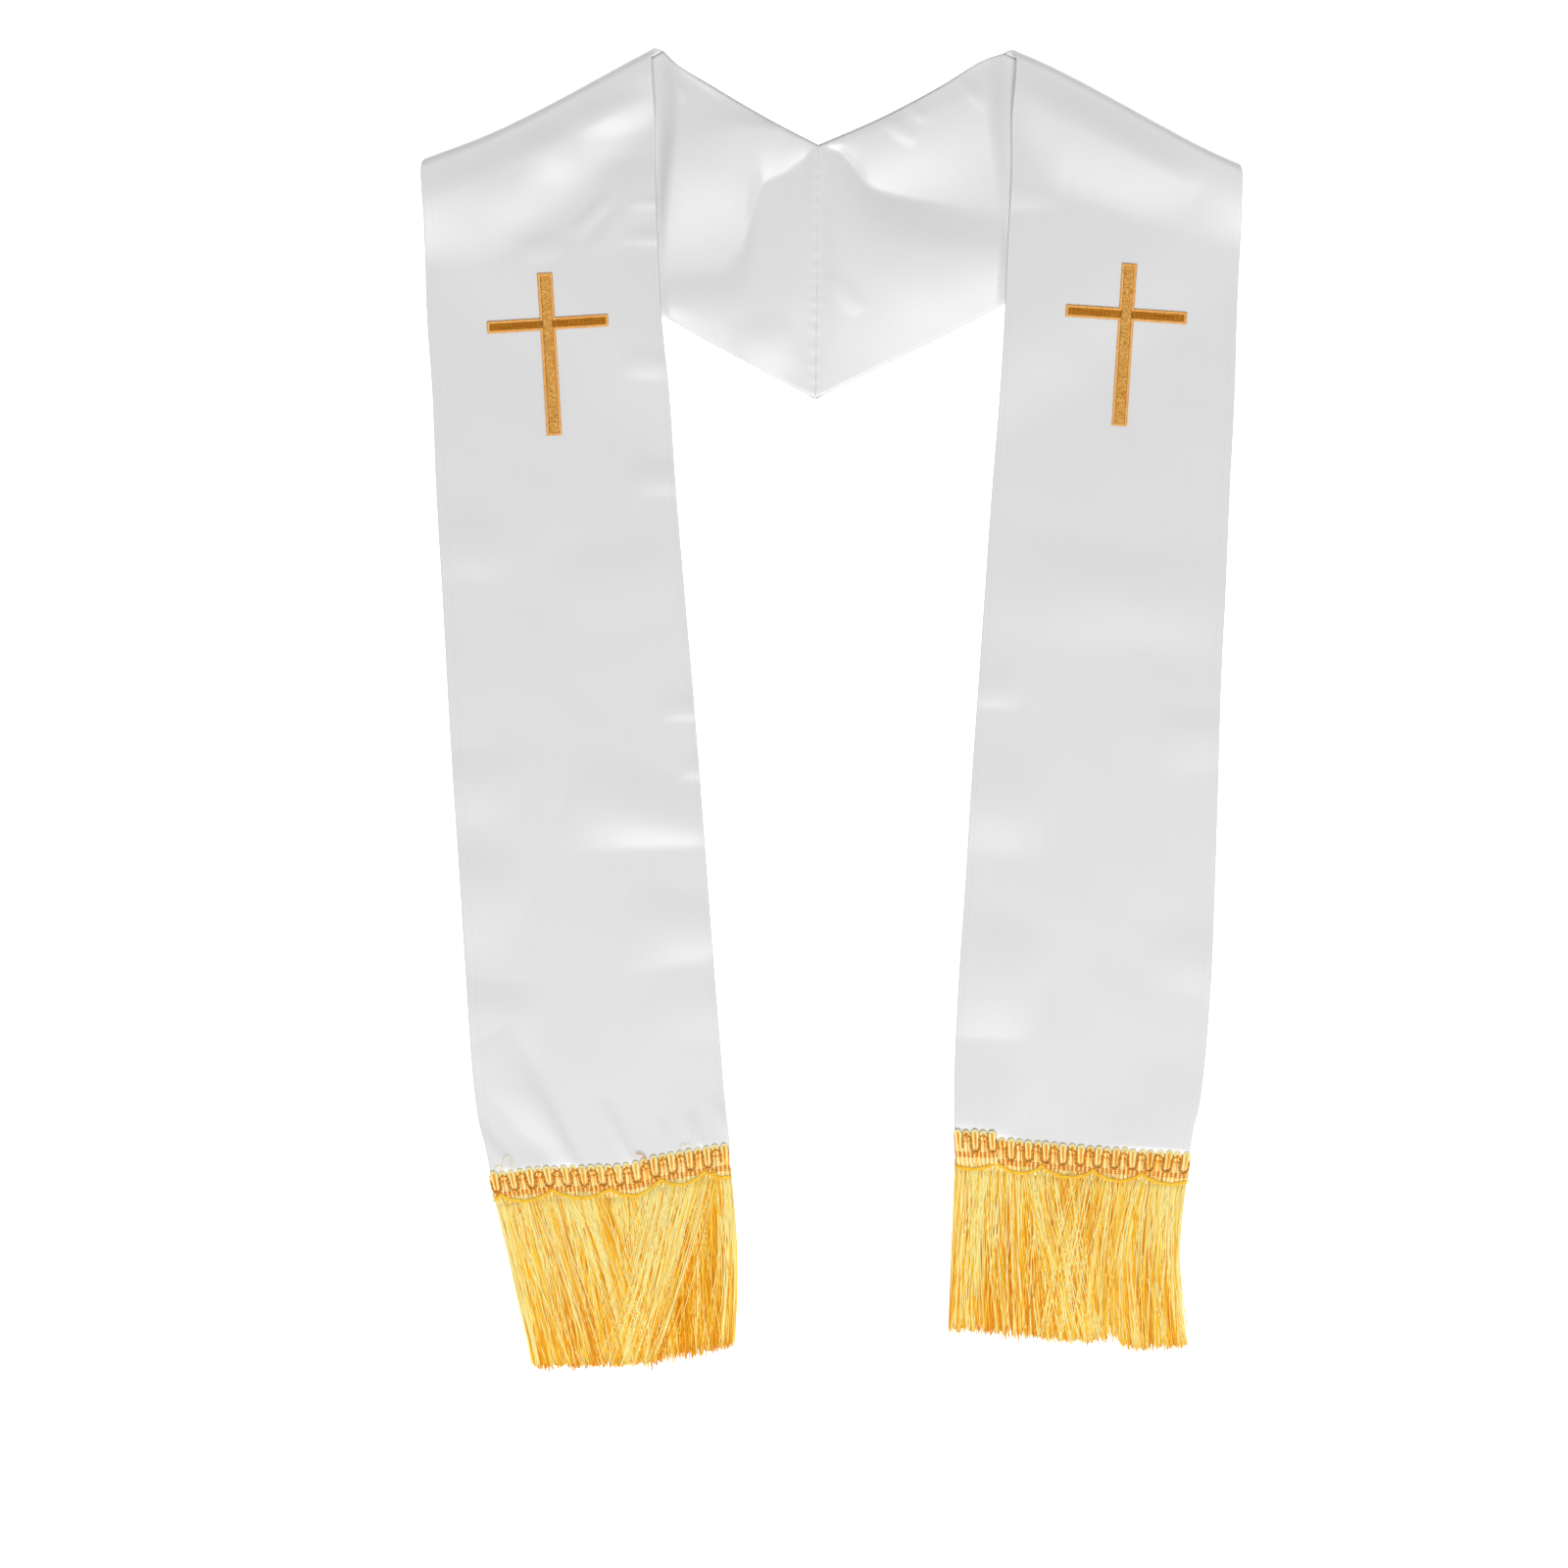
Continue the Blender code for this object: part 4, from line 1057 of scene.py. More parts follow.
def cross_padding(side):
    """The dark underlay, partly painted shade: the frame's own fill, merged and pressed down to a thin plate.
    """
    name = f"{side}_cross_underlay"
    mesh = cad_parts[f"{side}_cross_fill"].data.copy()
    mesh.name = name
    piece = new_piece(name, mesh)
    select_only(piece)
    bpy.ops.object.mode_set(mode="EDIT")
    bpy.ops.mesh.select_all(action="SELECT")
    bpy.ops.mesh.remove_doubles(threshold=1e-5)
    bpy.ops.object.mode_set(mode="OBJECT")
    points = read(mesh.vertices, "co", 3) / MM
    top = front_top(side, points[:, :2])
    points[:, 2] = top + np.where(points[:, 2] > top + PLATE[0], PLATE[1], PLATE[2])
    write(mesh.vertices, "co", points * MM)
    mesh.update()
    paint_shade(mesh, 0.5)
    return piece


trims = {side: [] for side in PLANS}


def sew_on(piece, finish, node=None):
    """Finishes a piece of trim and adds it to its side's trims. It may stand for a solid of the frame."""
    put_on(piece, finish)
    if node:
        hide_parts(node)
    trims[piece.name.split("_")[0]].append(piece)


for side in PLANS:
    rng = np.random.default_rng(11 if side == "left" else 12)
    border = add_threads(f"{side}_cross_border_stitches", [border_stitches(side, rng)])
    sew_on(border, cross_edge, f"{side}_cross_border")
    w, b, top, foot, reach = cross_reach(BORDER_WIDTH + DARK_LINE)
    upright = fill_stitches(side, rng, (-w, foot), (w, top), *UPRIGHT_FILL)
    fill = add_threads(f"{side}_cross_upright_stitches", [upright])
    sew_on(fill, cross_gold, f"{side}_cross_fill")
    arms = [(-reach, -w - 0.5), (w + 0.5, reach)]
    bars = [fill_stitches(side, rng, (start, -b), (end, b), *BAR_FILL) for start, end in arms]
    sew_on(add_threads(f"{side}_cross_bar_stitches", bars), cross_bronze)
    sew_on(cross_padding(side), padding_brown)

# %% [markdown]
# The braid is a looped gimp. Fine yellow threads run from the fringe up to its top edge and turn there in
# small loops. Two pairs of orange threads weave over and under them. A brown cord meanders across it in U
# shapes, with a bright loop hanging in each U. All of it is threads, placed in the braid's own frame: along
# it, and down from its top.

# %% Braid threads
LOOP_PITCH = 4.85
RIB_PITCH = 2.4
BRAID_BASE = FACE_WALL + GAP
# the end turned back on the right braid: its length, its shift up the plan, and how the shift grows inwards
BRAID_END_LENGTH, BRAID_END_SHIFT, BRAID_END_LEAN = 23.5, 2.2, (1.7, 1.0)
WARP_POINTS, WARP_RADIUS, WARP_WANDER = 11, 0.33, 0.05
# shade down the braid, darker near the top edge: painted shade under and between the loops. Distances from
# its top edge and what they add, on all threads and between the ribs
WARP_SHADES = ((2.0, 9.0, 13.0, 17.0), (-0.3, -0.02, 0.08, 0.16))
GAP_SHADES = ((7.0, 9.5, 12.0), (0.0, 0.35, 0.0))
# the arcs of one loop, one in the other: half width, how much lower and how much deeper in shade
LOOP_ARCS = ((1.68, 0.0, 0.0), (1.05, 0.6, 0.1), (0.42, 1.25, 0.6))
LOOP_TOP, LOOP_RISE, LOOP_RADIUS = 1.75, 1.55, 0.31
# the orange threads: how far down each lies, and their radius
WEFTS, WEFT_RADIUS = (4.7, 6.0, 12.2, 13.2, 14.2), 0.48
# the cord's meander: top and foot, the step along it, one twist of its plies and their radius
CORD_TOP, CORD_FOOT, CORD_STEP, CORD_TWIST, PLY_RADIUS = 2.8, 12.0, 0.42, 2.2, 0.44


def braid_size(side):
    """Length of the braid's top edge and height of the braid."""
    top_outer, top_inner, low_inner, low_outer = np.array(PLANS[side]["braid"])
    height = np.linalg.norm((top_outer + top_inner) / 2.0 - (low_outer + low_inner) / 2.0)
    return np.linalg.norm(top_inner - top_outer), height


def on_braid(side, along, down, height, shift=0.0):
    """Points from distances along the braid, from its outer end, and down from its top edge."""
    top_outer, top_inner, low_inner, low_outer = np.array(PLANS[side]["braid"])
    length, depth = braid_size(side)
    a, d = (np.asarray(along) / length)[..., None], (np.asarray(down) / depth)[..., None]
    upper = top_outer + (top_inner - top_outer) * a
    lower = low_outer + (low_inner - low_outer) * a
    plan = upper + (lower - upper) * d
    plan[..., 1] += shift * np.interp(along, (length - BRAID_END_LENGTH, length), BRAID_END_LEAN)
    plan[..., 1] -= along_table(BRAID_SAG[side], along)
    return np.concatenate([plan, np.broadcast_to(height, plan.shape[:-1])[..., None]], axis=-1)


def warp_threads(side, span, base, shift, rng, reach):
    """Fine threads up through the braid: three to a rib, and a deep orange one between, painted shade."""
    start, end = span
    count = 4 * round((end - start) / RIB_PITCH)
    at = start + (np.arange(count) + 0.5) * ((end - start) / count)
    between_ribs = np.arange(count) % 4 == 3
    down = np.linspace(1.8, reach, WARP_POINTS)
    along = at[:, None] + rng.normal(0.0, WARP_WANDER, (count, WARP_POINTS)).cumsum(axis=1) * 0.5
    downs = np.broadcast_to(down, along.shape)
    ripple = 0.08 * np.sin(downs * 1.3 + np.arange(count)[:, None] * 2.1)
    height = base + 0.42 + ripple - 0.12 * between_ribs[:, None]
    # painted shade: the thread between the ribs is much darker, for the shaded gap between them
    shade = 0.84 + rng.normal(0.0, 0.15, count) - 0.78 * between_ribs
    shades = shade[:, None] + np.interp(down, *WARP_SHADES)
    shades += between_ribs[:, None] * np.interp(down, *GAP_SHADES)
    return sweep(on_braid(side, along, downs, height, shift), WARP_RADIUS, 5, np.clip(shades, 0.0, 1.0))


def loop_pitch(span):
    """The even pitch of the loops on a stretch of braid."""
    return (span[1] - span[0]) / round((span[1] - span[0]) / LOOP_PITCH)


def edge_loops(side, span, base, shift, rng):
    """The loops of the top edge: long ones that hang in each U of the cord, and short ones between them."""
    pitch = loop_pitch(span)
    turn = np.linspace(0.0, math.pi, 9)
    batches = []
    for number in range(round((span[1] - span[0]) / pitch)):
        middle = span[0] + (number + 0.5) * pitch + rng.normal(0.0, 0.1)
        foot, lift = (9.9 + rng.normal(0.0, 0.4), 1.15) if number % 2 == 0 else (5.0, 0.85)
        tall, lean, shade = rng.normal(0.0, 0.2), rng.normal(0.0, 0.2), rng.normal(0.98, 0.1)
        for half, drop, deeper in LOOP_ARCS:
            x = half * np.concatenate([[-0.5, -0.85], -np.cos(turn), [0.85, 0.5]])
            y = LOOP_TOP + drop + tall - LOOP_RISE * np.concatenate([[0.0, 0.0], np.sin(turn), [0.0, 0.0]])
            y[:2] = y[-1], y[-2] = (foot, foot * 0.55 + 1.6)
            x = middle + x + lean * (1.0 - y / 10.0)
            height = base + lift + 0.22 * np.sin(np.linspace(0.0, math.pi, len(x))) - 0.15 * (half < 0.5)
            own = shade - deeper + rng.normal(0.0, 0.06)
            shades = np.clip(own - 0.15 * smooth((y - 4.0) / 6.0), 0.0, 1.0)
            batches.append(sweep(on_braid(side, x, y, height, shift)[None], LOOP_RADIUS, 5, shades[None]))
    return batches


def weft_threads(side, span, base, shift):
    """Orange threads that show in the gaps between the ribs and dive under them."""
    start, end = span
    at = np.arange(start, end, 0.3)
    turns = (at - start) * round((end - start) / RIB_PITCH) / (end - start)
    height = base + 0.42 + 0.36 * np.cos(2.0 * math.pi * (turns - 0.875))
    downs = [down + 0.15 * np.sin(at * 0.7 + number) for number, down in enumerate(WEFTS)]
    paths = np.array([on_braid(side, at, down, height, shift) for down in downs])
    shades = uneven(np.random.default_rng(5), 0.55 + 0.3 * np.sin(at * 1.7), 0.15, paths.shape[:2])
    return sweep(paths, WEFT_RADIUS, 5, shades)


def meander(start, pitch, legs, top, foot):
    """The cord's line in the braid's frame: legs at an even pitch, joined by round turns, a U first."""
    turn = np.linspace(0.0, math.pi, 7)
    radius = pitch / 2.0
    along, down = [], []
    for leg in range(legs):
        x = start + leg * pitch
        straight = np.linspace(top + radius, foot - radius, 3)
        along += [x] * 3 + list(x + radius - radius * np.cos(turn))
        if leg % 2 == 0:
            down += list(straight) + list(foot - radius + radius * np.sin(turn))
        else:
            down += list(straight[::-1]) + list(top + radius - radius * np.sin(turn))
    return np.column_stack([along[:-7], down[:-7]])


def even_path(points, step):
    """A line of points spaced evenly along itself."""
    gone = run_lengths(points)
    at = np.linspace(0.0, gone[-1], max(4, int(gone[-1] / step)))
    return np.column_stack([np.interp(at, gone, points[:, axis]) for axis in range(points.shape[1])])


def cord_plies(side, start, pitch, legs, base, shift, rng):
    """The brown cord as two plies twisted round each other. At the top it passes under the loops."""
    along, down = even_path(meander(start, pitch, legs, CORD_TOP, CORD_FOOT), CORD_STEP).T
    wander = 0.22 * np.sin(along * 0.9) + 0.15 * np.sin(along * 2.3 + 1.0)
    under_loops = smooth((down - 3.2) / 3.4)
    path = on_braid(side, along, down + wander, base + 1.0 + 0.95 * under_loops, shift)
    across = np.cross(unit(np.gradient(path, axis=0)), [0.0, 0.0, 1.0])
    angle = np.arange(len(path)) * CORD_STEP * 2.0 * math.pi / CORD_TWIST
    wave = 0.25 * (across * np.cos(angle)[:, None] + np.array([0.0, 0.0, 0.8]) * np.sin(angle)[:, None])
    shades = uneven(rng, 0.5 + 0.25 * np.sin(angle), 0.16, (2, len(path)))
    return sweep(np.array([path + wave, path - wave]), PLY_RADIUS, 5, shades)


def lay_braid(side, part, span, weft_span, reach, cord_start, legs, rng):
    """A whole stretch of braid, or its turned end: loops and warp in one piece, the weft, and the cord."""
    lie = (BRAID_BASE + FACE_WALL + GAP, BRAID_END_SHIFT) if part else (BRAID_BASE, 0.0)
    threads = edge_loops(side, span, *lie, rng)
    threads.append(warp_threads(side, span, *lie, rng, reach))
    weave = add_threads(f"{side}_braid{part}_weave", threads)
    sew_on(weave, braid_gold, f"{side}_braid{part}")
    weft = add_threads(f"{side}_braid{part}_weft", [weft_threads(side, weft_span, *lie)])
    sew_on(weft, weft_orange)
    plies = cord_plies(side, cord_start, loop_pitch(span), legs, *lie, rng)
    cord = add_threads(f"{side}_gimp_cord{part}", [plies])
    sew_on(cord, cord_brown, f"{side}_braid{part}_cord")


for side in PLANS:
    rng = np.random.default_rng(21 if side == "left" else 22)
    length, depth = braid_size(side)
    whole = (0.3, length - 0.3)
    turned = length if side == "left" else length - BRAID_END_LENGTH
    legs = int(turned / loop_pitch(whole))
    lay_braid(side, "", whole, (0.2, length - 0.2), depth + 0.8, 0.7, legs, rng)
    if side == "right":
        lay_braid(side, "_end", (turned, length), (turned, length - 0.1), depth - 0.2, turned + 0.2, 5, rng)

# %% [markdown]
# A strong yellow thread holds the fringe to the braid with chain stitches, in shallow swags. A chain is
# links in a row, so one link is modelled from a torus, drawn out long in edit mode, and copied along each
# swag.

# %% Chain stitches
LINK_RING, LINK_WIRE, LINK_STRETCH = 0.66, 0.29, 1.6
LINK_STEP, LINK_TILT_DEG = 1.275, 14.0
# where the swags are tied along the braid, in mm from its outer end, and where the first would start past it
SWAG_START = -24.0
SWAG_TIES = {"left": (4.0, 32.9, 65.5, 93.7, 118.5, 146.0), "right": (-4.0, 26.0, 53.0, 82.0, 107.5, 139.0)}
SWAG_TOP, SWAG_DIP, SWAG_HEIGHT = 13.4, 4.9, BRAID_BASE + 1.25
# a loose end of chain hangs down over the left fringe: its place along the braid, its top, length and height
CHAIN_TAIL = (123.5, 14.5, 22.5, 4.1)


def chain_link():
    """One link: a small torus, drawn out along x. Returns its points in millimetres and its faces."""
    bpy.ops.object.select_all(action="DESELECT")
    size = {"major_radius": LINK_RING * MM, "minor_radius": LINK_WIRE * MM}
    bpy.ops.mesh.primitive_torus_add(major_segments=10, minor_segments=5, **size)
    link = bpy.context.object
    bpy.ops.object.mode_set(mode="EDIT")
    bpy.ops.mesh.select_all(action="SELECT")
    bpy.ops.transform.resize(value=(LINK_STRETCH, 1.0, 1.0))
    bpy.ops.object.mode_set(mode="OBJECT")
    points = read(link.data.vertices, "co", 3) / MM
    faces = np.array([list(p.vertices) for p in link.data.polygons])
    bpy.data.objects.remove(link, do_unlink=True)
    return points, faces


def add_links(name, lines):
    """Copies of the link along lines in millimetres, each tilted a little over the one before."""
    points, faces = chain_link()
    tilt = math.radians(LINK_TILT_DEG)
    raised = points[:, 2] + points[:, 0] * math.sin(tilt)
    tipped = np.column_stack([points[:, 0] * math.cos(tilt), points[:, 1], raised])
    places = []
    for line in lines:
        path = even_path(line, LINK_STEP)
        run = unit(np.gradient(path, axis=0))
        across = unit(np.cross([0.0, 0.0, 1.0], run))
        turns = np.stack([run, across, np.cross(run, across)], axis=1)
        places.append(tipped @ turns + path[:, None, :])
    places = np.concatenate(places)
    copies = np.arange(len(places))[:, None, None] * len(points) + faces
    mesh = bpy.data.meshes.new(name)
    mesh.from_pydata((places.reshape(-1, 3) * MM).tolist(), [], copies.reshape(-1, faces.shape[1]).tolist())
    shades = uneven(np.random.default_rng(31), 0.6, 0.2, len(places))
    paint_shade(mesh, np.repeat(shades, len(points)))
    mesh.uv_layers.new(name="UVMap")
    return new_piece(name, mesh)


for side in PLANS:
    length, depth = braid_size(side)
    ties = SWAG_TIES[side]
    at = np.arange(0.6, length - 0.6, 0.5)
    share = np.interp(at, (SWAG_START, *ties), np.arange(len(ties) + 1)) % 1.0
    dip = SWAG_TOP + SWAG_DIP * np.sin(math.pi * share) ** 0.8
    lines = [on_braid(side, at, dip + 0.22 * np.sin(at * 0.9), SWAG_HEIGHT)]
    if side == "left":
        along, top, hang_length, height = CHAIN_TAIL
        hang = np.linspace(0.0, hang_length, 20)
        wander = 0.04 * hang + 0.9 * np.sin(hang * 0.3)
        lines.append(on_braid(side, along + wander, top + hang, height - 0.04 * hang))
    sew_on(add_links(f"{side}_chain_stitches", lines), chain_yellow)

# %% [markdown]
# The fringe is cut rayon thread, hundreds of strands on each end, looped over a heading tape that is hidden
# by the braid. A hair system could grow them, but the strands lie on a table in clumps that lean and cross
# as the hand left them. So each strand gets its own path: from its root, with its lock, to a ragged cut
# end.

# %% Fringe strands
# a row each for the under layer, the locks and the loose top layer: strands, stray of their ends, waviness,
# height and its spread, shade and its spread, radius. The shade is painted light and shade: the under layer
# is deep because it lies in the shade of the others, and the top layer is pale where it catches the light
LAYERS = (
    (420, 0.001, 0.05, 0.35, 0.9, 0.02, 0.1, 0.44),
    (760, 0.015, 0.6, 1.2, 1.6, 0.34, 0.38, 0.29),
    (420, 0.04, 1.0, 2.7, 0.7, 0.80, 0.30, 0.28),
)
STRAND_POINTS = 12
# the strands leave the heading in small groups, one to a rib of the braid, this far drawn together
ROOT_GATHER = 0.45
ROOT_ABOVE_FOOT = 4.6
LOCKS = 34
# where strands were pushed across their neighbours: from share to share, how far, what part, how evenly
CROSSINGS = {
    "left": ((0.66, 0.95, -0.31, 0.5, 0.95), (0.14, 0.46, 0.13, 0.35, 0.7), (0.03, 0.14, 0.06, 0.2, 0.6)),
    "right": ((0.30, 0.50, 0.15, 0.42, 0.6), (0.50, 0.72, -0.15, 0.42, 0.6), (0.10, 0.25, 0.08, 0.2, 0.6)),
}
# crossed strands lie higher, and their shade is raised by a painted light
CROSSING_LIFT, CROSSING_PAINTED_LIGHT = 0.9, 0.2
# some strands were cut short: what part of them, and by how much
CUT_SHORT, SHORT_BY = 0.12, (2.0, 9.0)
# neighbours that lie together share their tone: how many streaks there are across, and how much they differ
STREAKS, STREAK_TONE = 130, 0.27
# broad patches of painted light and shade: share across, place along the strands, reach across and along,
# lighter or darker
LIGHT_AND_SHADE_PATCHES = {
    "left": (
        (0.22, 0.92, 0.20, 0.28, -0.22),
        (0.72, 0.85, 0.22, 0.26, -0.16),
        (0.46, 0.15, 0.03, 0.22, -0.4),
        (0.5, 0.08, 0.6, 0.2, 0.08),
    ),
    "right": (
        (0.49, 0.14, 0.15, 0.3, -0.42),
        (0.84, 0.85, 0.16, 0.26, -0.16),
        (0.13, 0.82, 0.12, 0.3, -0.12),
        (0.51, 0.75, 0.13, 0.3, -0.12),
    ),
}
# along a strand, from its root to its end: how high its arch is and what is added to its shade
STRAND_ARCH = ((0.0, 0.08, 0.3, 0.8, 1.0), (0.45, 0.8, 1.0, 0.9, 0.6))
STRAND_SHADES = ((0.0, 0.25, 0.7, 1.0), (0.14, 0.06, -0.14, -0.2))


def strand_ends(side, rng, layer, stray):
    """Shares along the braid where the strands start and end, their locks, and which ones cross."""
    count = len(layer)
    share = np.concatenate([(np.arange(n) + rng.uniform(0.0, 1.0, n)) / n for n in np.bincount(layer)])
    share[layer == 0] = 0.006 + 0.988 * share[layer == 0]
    inner = (np.arange(1, LOCKS) + rng.uniform(-0.35, 0.35, LOCKS - 1)) / LOCKS
    edges = np.sort(np.concatenate([[0.0, 1.0], inner]))
    lock = np.clip(np.searchsorted(edges, share + rng.normal(0.0, 0.006, count)) - 1, 0, LOCKS - 1)
    gather = np.where(layer == 1, rng.uniform(0.1, 0.6, LOCKS)[lock], 0.0)
    slip = np.where(layer == 1, rng.normal(0.0, 0.014, LOCKS)[lock], 0.0)
    middle = (edges[lock] + edges[lock + 1]) / 2.0
    end_share = share + (middle - share) * gather + slip + stray * rng.standard_t(4.0, count)
    crossed = np.zeros(count, bool)
    for low, high, shift, part, even in CROSSINGS[side]:
        chosen = (share > low) & (share < high) & (layer > 0) & (rng.uniform(0.0, 1.0, count) < part)
        ease = smooth((share - low) / (high - low))
        end_share = np.where(chosen, end_share + shift * (even + (1.0 - even) * ease), end_share)
        crossed |= chosen
    end_share = np.abs(end_share)
    return share, np.clip(np.where(end_share > 1.0, 2.0 - end_share, end_share), 0.0, 1.0), lock, crossed


def strand_roots_and_cuts(side, rng, share, end_share, drawn):
    """Plan points where the strands leave the heading, drawn together or not, and where they were cut."""
    length, depth = braid_size(side)
    group = (np.floor(share * length / RIB_PITCH) + 0.5) * RIB_PITCH / length
    root_share = np.clip(np.where(drawn, share + (group - share) * ROOT_GATHER, share), 0.0, 1.0)
    root = on_braid(side, root_share * length, np.full(len(share), depth - ROOT_ABOVE_FOOT), 0.0)[:, :2]
    end = point_on(PLANS[side]["fringe_end"], end_share)
    ragged = rng.normal(0.4, 1.7, len(share))
    short = rng.uniform(0.0, 1.0, len(share)) < CUT_SHORT
    end[:, 1] += ragged + np.where(short, rng.uniform(*SHORT_BY, len(share)), 0.0)
    return root, end


def strand_paths(side, rng):
    """Paths, radii and shades of the strands of one end."""
    layer = np.repeat([0, 1, 2], [row[0] for row in LAYERS])
    stray, waviness, low, low_spread, tone, tone_spread, thick = np.array(LAYERS)[layer, 1:].T
    count = len(layer)
    above = layer > 0
    t = np.linspace(0.0, 1.0, STRAND_POINTS)
    share, end_share, lock, crossed = strand_ends(side, rng, layer, stray)
    root, end = strand_roots_and_cuts(side, rng, share, end_share, above)
    plan = root[:, None, :] + (end - root)[:, None, :] * t[None, :, None]
    inside = np.minimum(1.0, 12.0 * share * (1.0 - share))
    own_bow = rng.normal(0.0, 1.2, LOCKS)[lock] + rng.normal(0.0, 0.7, count)
    bow = np.interp(share, (0.0, 1.0), PLANS[side]["fringe_waist"]) + own_bow * above * inside
    turns = t[None, :] * rng.uniform(0.5, 1.5, count)[:, None] + rng.uniform(0.0, 1.0, count)[:, None]
    wave = (waviness * rng.normal(0.0, 1.0, count) * inside)[:, None] * np.sin(2.0 * math.pi * turns)
    plan[:, :, 0] += bow[:, None] * np.sin(math.pi * t) + wave * smooth(t * 3.0)
    pile = low + low_spread * rng.uniform(0.0, 1.0, count) + CROSSING_LIFT * crossed
    height = np.maximum(0.3, pile[:, None] * np.interp(t, *STRAND_ARCH))
    shade = tone + tone_spread * rng.normal(0.0, 1.0, count) + CROSSING_PAINTED_LIGHT * crossed
    shade += rng.normal(0.0, STREAK_TONE, STREAKS + 1)[(end_share * STREAKS).astype(int)] * above
    # strands near the two sides are lighter: less painted shade where fewer strands lie over them
    shade += np.where(above, 0.22, 0.6) * (1.0 - inside)
    flecks = 0.08 * np.sin(2.0 * math.pi * (1.7 * turns + share[:, None] * 9.0))
    shades = shade[:, None] + np.interp(t, *STRAND_SHADES) + flecks
    place = share[:, None] + (end_share - share)[:, None] * t
    for across, along, wide, far, lighter in LIGHT_AND_SHADE_PATCHES[side]:
        shades += lighter * np.exp(-(((place - across) / wide) ** 2) - ((t - along) / far) ** 2)
    radii = thick[:, None] * np.interp(t, (0.0, 0.9, 1.0), (1.0, 1.0, 0.75))
    return np.concatenate([plan, height[..., None]], axis=2), radii, np.clip(shades, 0.0, 1.0)


for side in PLANS:
    rng = np.random.default_rng(41 if side == "left" else 42)
    paths, radii, shades = strand_paths(side, rng)
    strands = add_threads(f"{side}_fringe_strands", [sweep(paths, radii, 3, shades)])
    sew_on(strands, fringe_gold, f"{side}_fringe")

# %% [markdown]
# From below, the fringe hangs on a narrow heading tape that meets the hem under the braid. It is woven, so
# it is a small sheet of its own, made in the same way as the satin.

# %% Heading tape
TAPE_WALL, TAPE_HEIGHT, TAPE_NOSE = 0.8, 0.45, (0.5, 0.5, 0.5)
for side in PLANS:
    length, depth = braid_size(side)
    downs = np.linspace(HEM_SHARE * depth + GAP + 0.1, depth, 8)
    alongs = np.linspace(0.2, length - 0.2, 70)
    grid = np.array([on_braid(side, alongs, np.full(len(alongs), down), TAPE_HEIGHT) for down in downs])
    tape = add_sheet(f"{side}_heading_tape", grid, TAPE_WALL, TAPE_NOSE)
    paint_shade(tape.data, 0.5)
    sew_on(tape, braid_gold)

# %% [markdown]
# Nothing hand-sewn is perfect. A pale loop of thread has slipped at the outer end of the left braid, a wisp
# of brown stands up beside a loop, and a hair or two has come loose. They are the same threads again,
# thinner.

# %% Loose threads
LOOSE_PALE = (
    (
        (-180.5, -252, 2.6), (-180.2, -247, 3.4), (-177.6, -243.6, 3.6), (-174.8, -247.5, 3.2),
        (-175.6, -252.5, 2.6),
    ),
    ((-184.5, -253, 2.6), (-184, -250.4, 3.1), (-181.2, -249.6, 3.2), (-180.2, -252, 2.8)),
    ((-83.5, -241, 3), (-82, -238, 3.5), (-80.3, -239.8, 3.4), (-79, -237.2, 3.3), (-77.6, -239.8, 3)),
    ((-178, -273, 4.4), (-172, -270.6, 4.8), (-168, -275, 4.6), (-176, -279.5, 4.5), (-171, -283, 4.4)),
)
BROWN_WISP = ((-102, -246.5, 3.6), (-104, -243.5, 3.8), (-107.5, -243.3, 3.4))


def loose(points, radius, shade):
    """A thread on a soft line through a few points in the frame, in millimetres."""
    fine = np.array(points, float)
    for _ in range(3):
        near, far = fine[:-1] * 0.75 + fine[1:] * 0.25, fine[:-1] * 0.25 + fine[1:] * 0.75
        fine = np.concatenate([fine[:1], np.stack([near, far], axis=1).reshape(-1, 3), fine[-1:]])
    return sweep(even_path(fine, 0.8)[None], radius, 5, np.array([shade]))


pale = add_threads("left_loose_pale_threads", [loose(points, 0.14, 0.95) for points in LOOSE_PALE])
sew_on(pale, braid_gold)
sew_on(add_threads("left_loose_brown_thread", [loose(BROWN_WISP, 0.3, 0.6)]), cord_brown)

# %% [markdown]
# Each band and each lining has the rectangle it was cut from, before it was folded. The area that is left of
# it after the slanted seam, the slight bend at the shoulder and the hem are cut is measured here and printed
# as a share of that rectangle. The linings lie on the bands.

BAND_CUT = {"left": (0.148, 0.814), "right": (0.150, 0.814)}
LINING_CUT = {"left": (0.122, 0.251), "right": (0.122, 0.264)}


def half_area(piece, cut):
    """Half of a closed sheet's surface, in square metres."""
    area = sum(p.area for p in piece.data.polygons) / 2.0
    print(f"{piece.name}: {area:.4f} square metres, {area / (cut[0] * cut[1]):.2f} of its rectangle")
    return round(area, 4)


for side in PLANS:
    band, lining, cut = bands[side], linings[side], BAND_CUT[side]
    area = half_area(band, cut)
    area = half_area(lining, LINING_CUT[side])

# %% [markdown]
# The stole lies on a white light table, whose faint glow keeps shadows off the paper. One big soft lamp
# hangs past the fringe end, high enough that flat satin only catches the edge of its reflection: a slope
# towards it shines and a slope away from it goes grey. White walls, the world, fill the rest. The camera
# hangs far up on a long lens and looks straight down, and its frame is as wide as 1600 points of 0.535 mm
# each.

# %% Floor, light and camera
# metres to a point of the picture, how many points it is wide, and the point where the frame's origin lies
PIXEL, PICTURE, ORIGIN = 0.000535, 1600, (850, 722)
FRAME_WIDTH = PICTURE * PIXEL
FRAME_CENTRE = ((PICTURE / 2 - ORIGIN[0]) * PIXEL, (ORIGIN[1] - PICTURE / 2) * PIXEL)
CAMERA_HEIGHT, SENSOR_MM = 5.0, 36.0
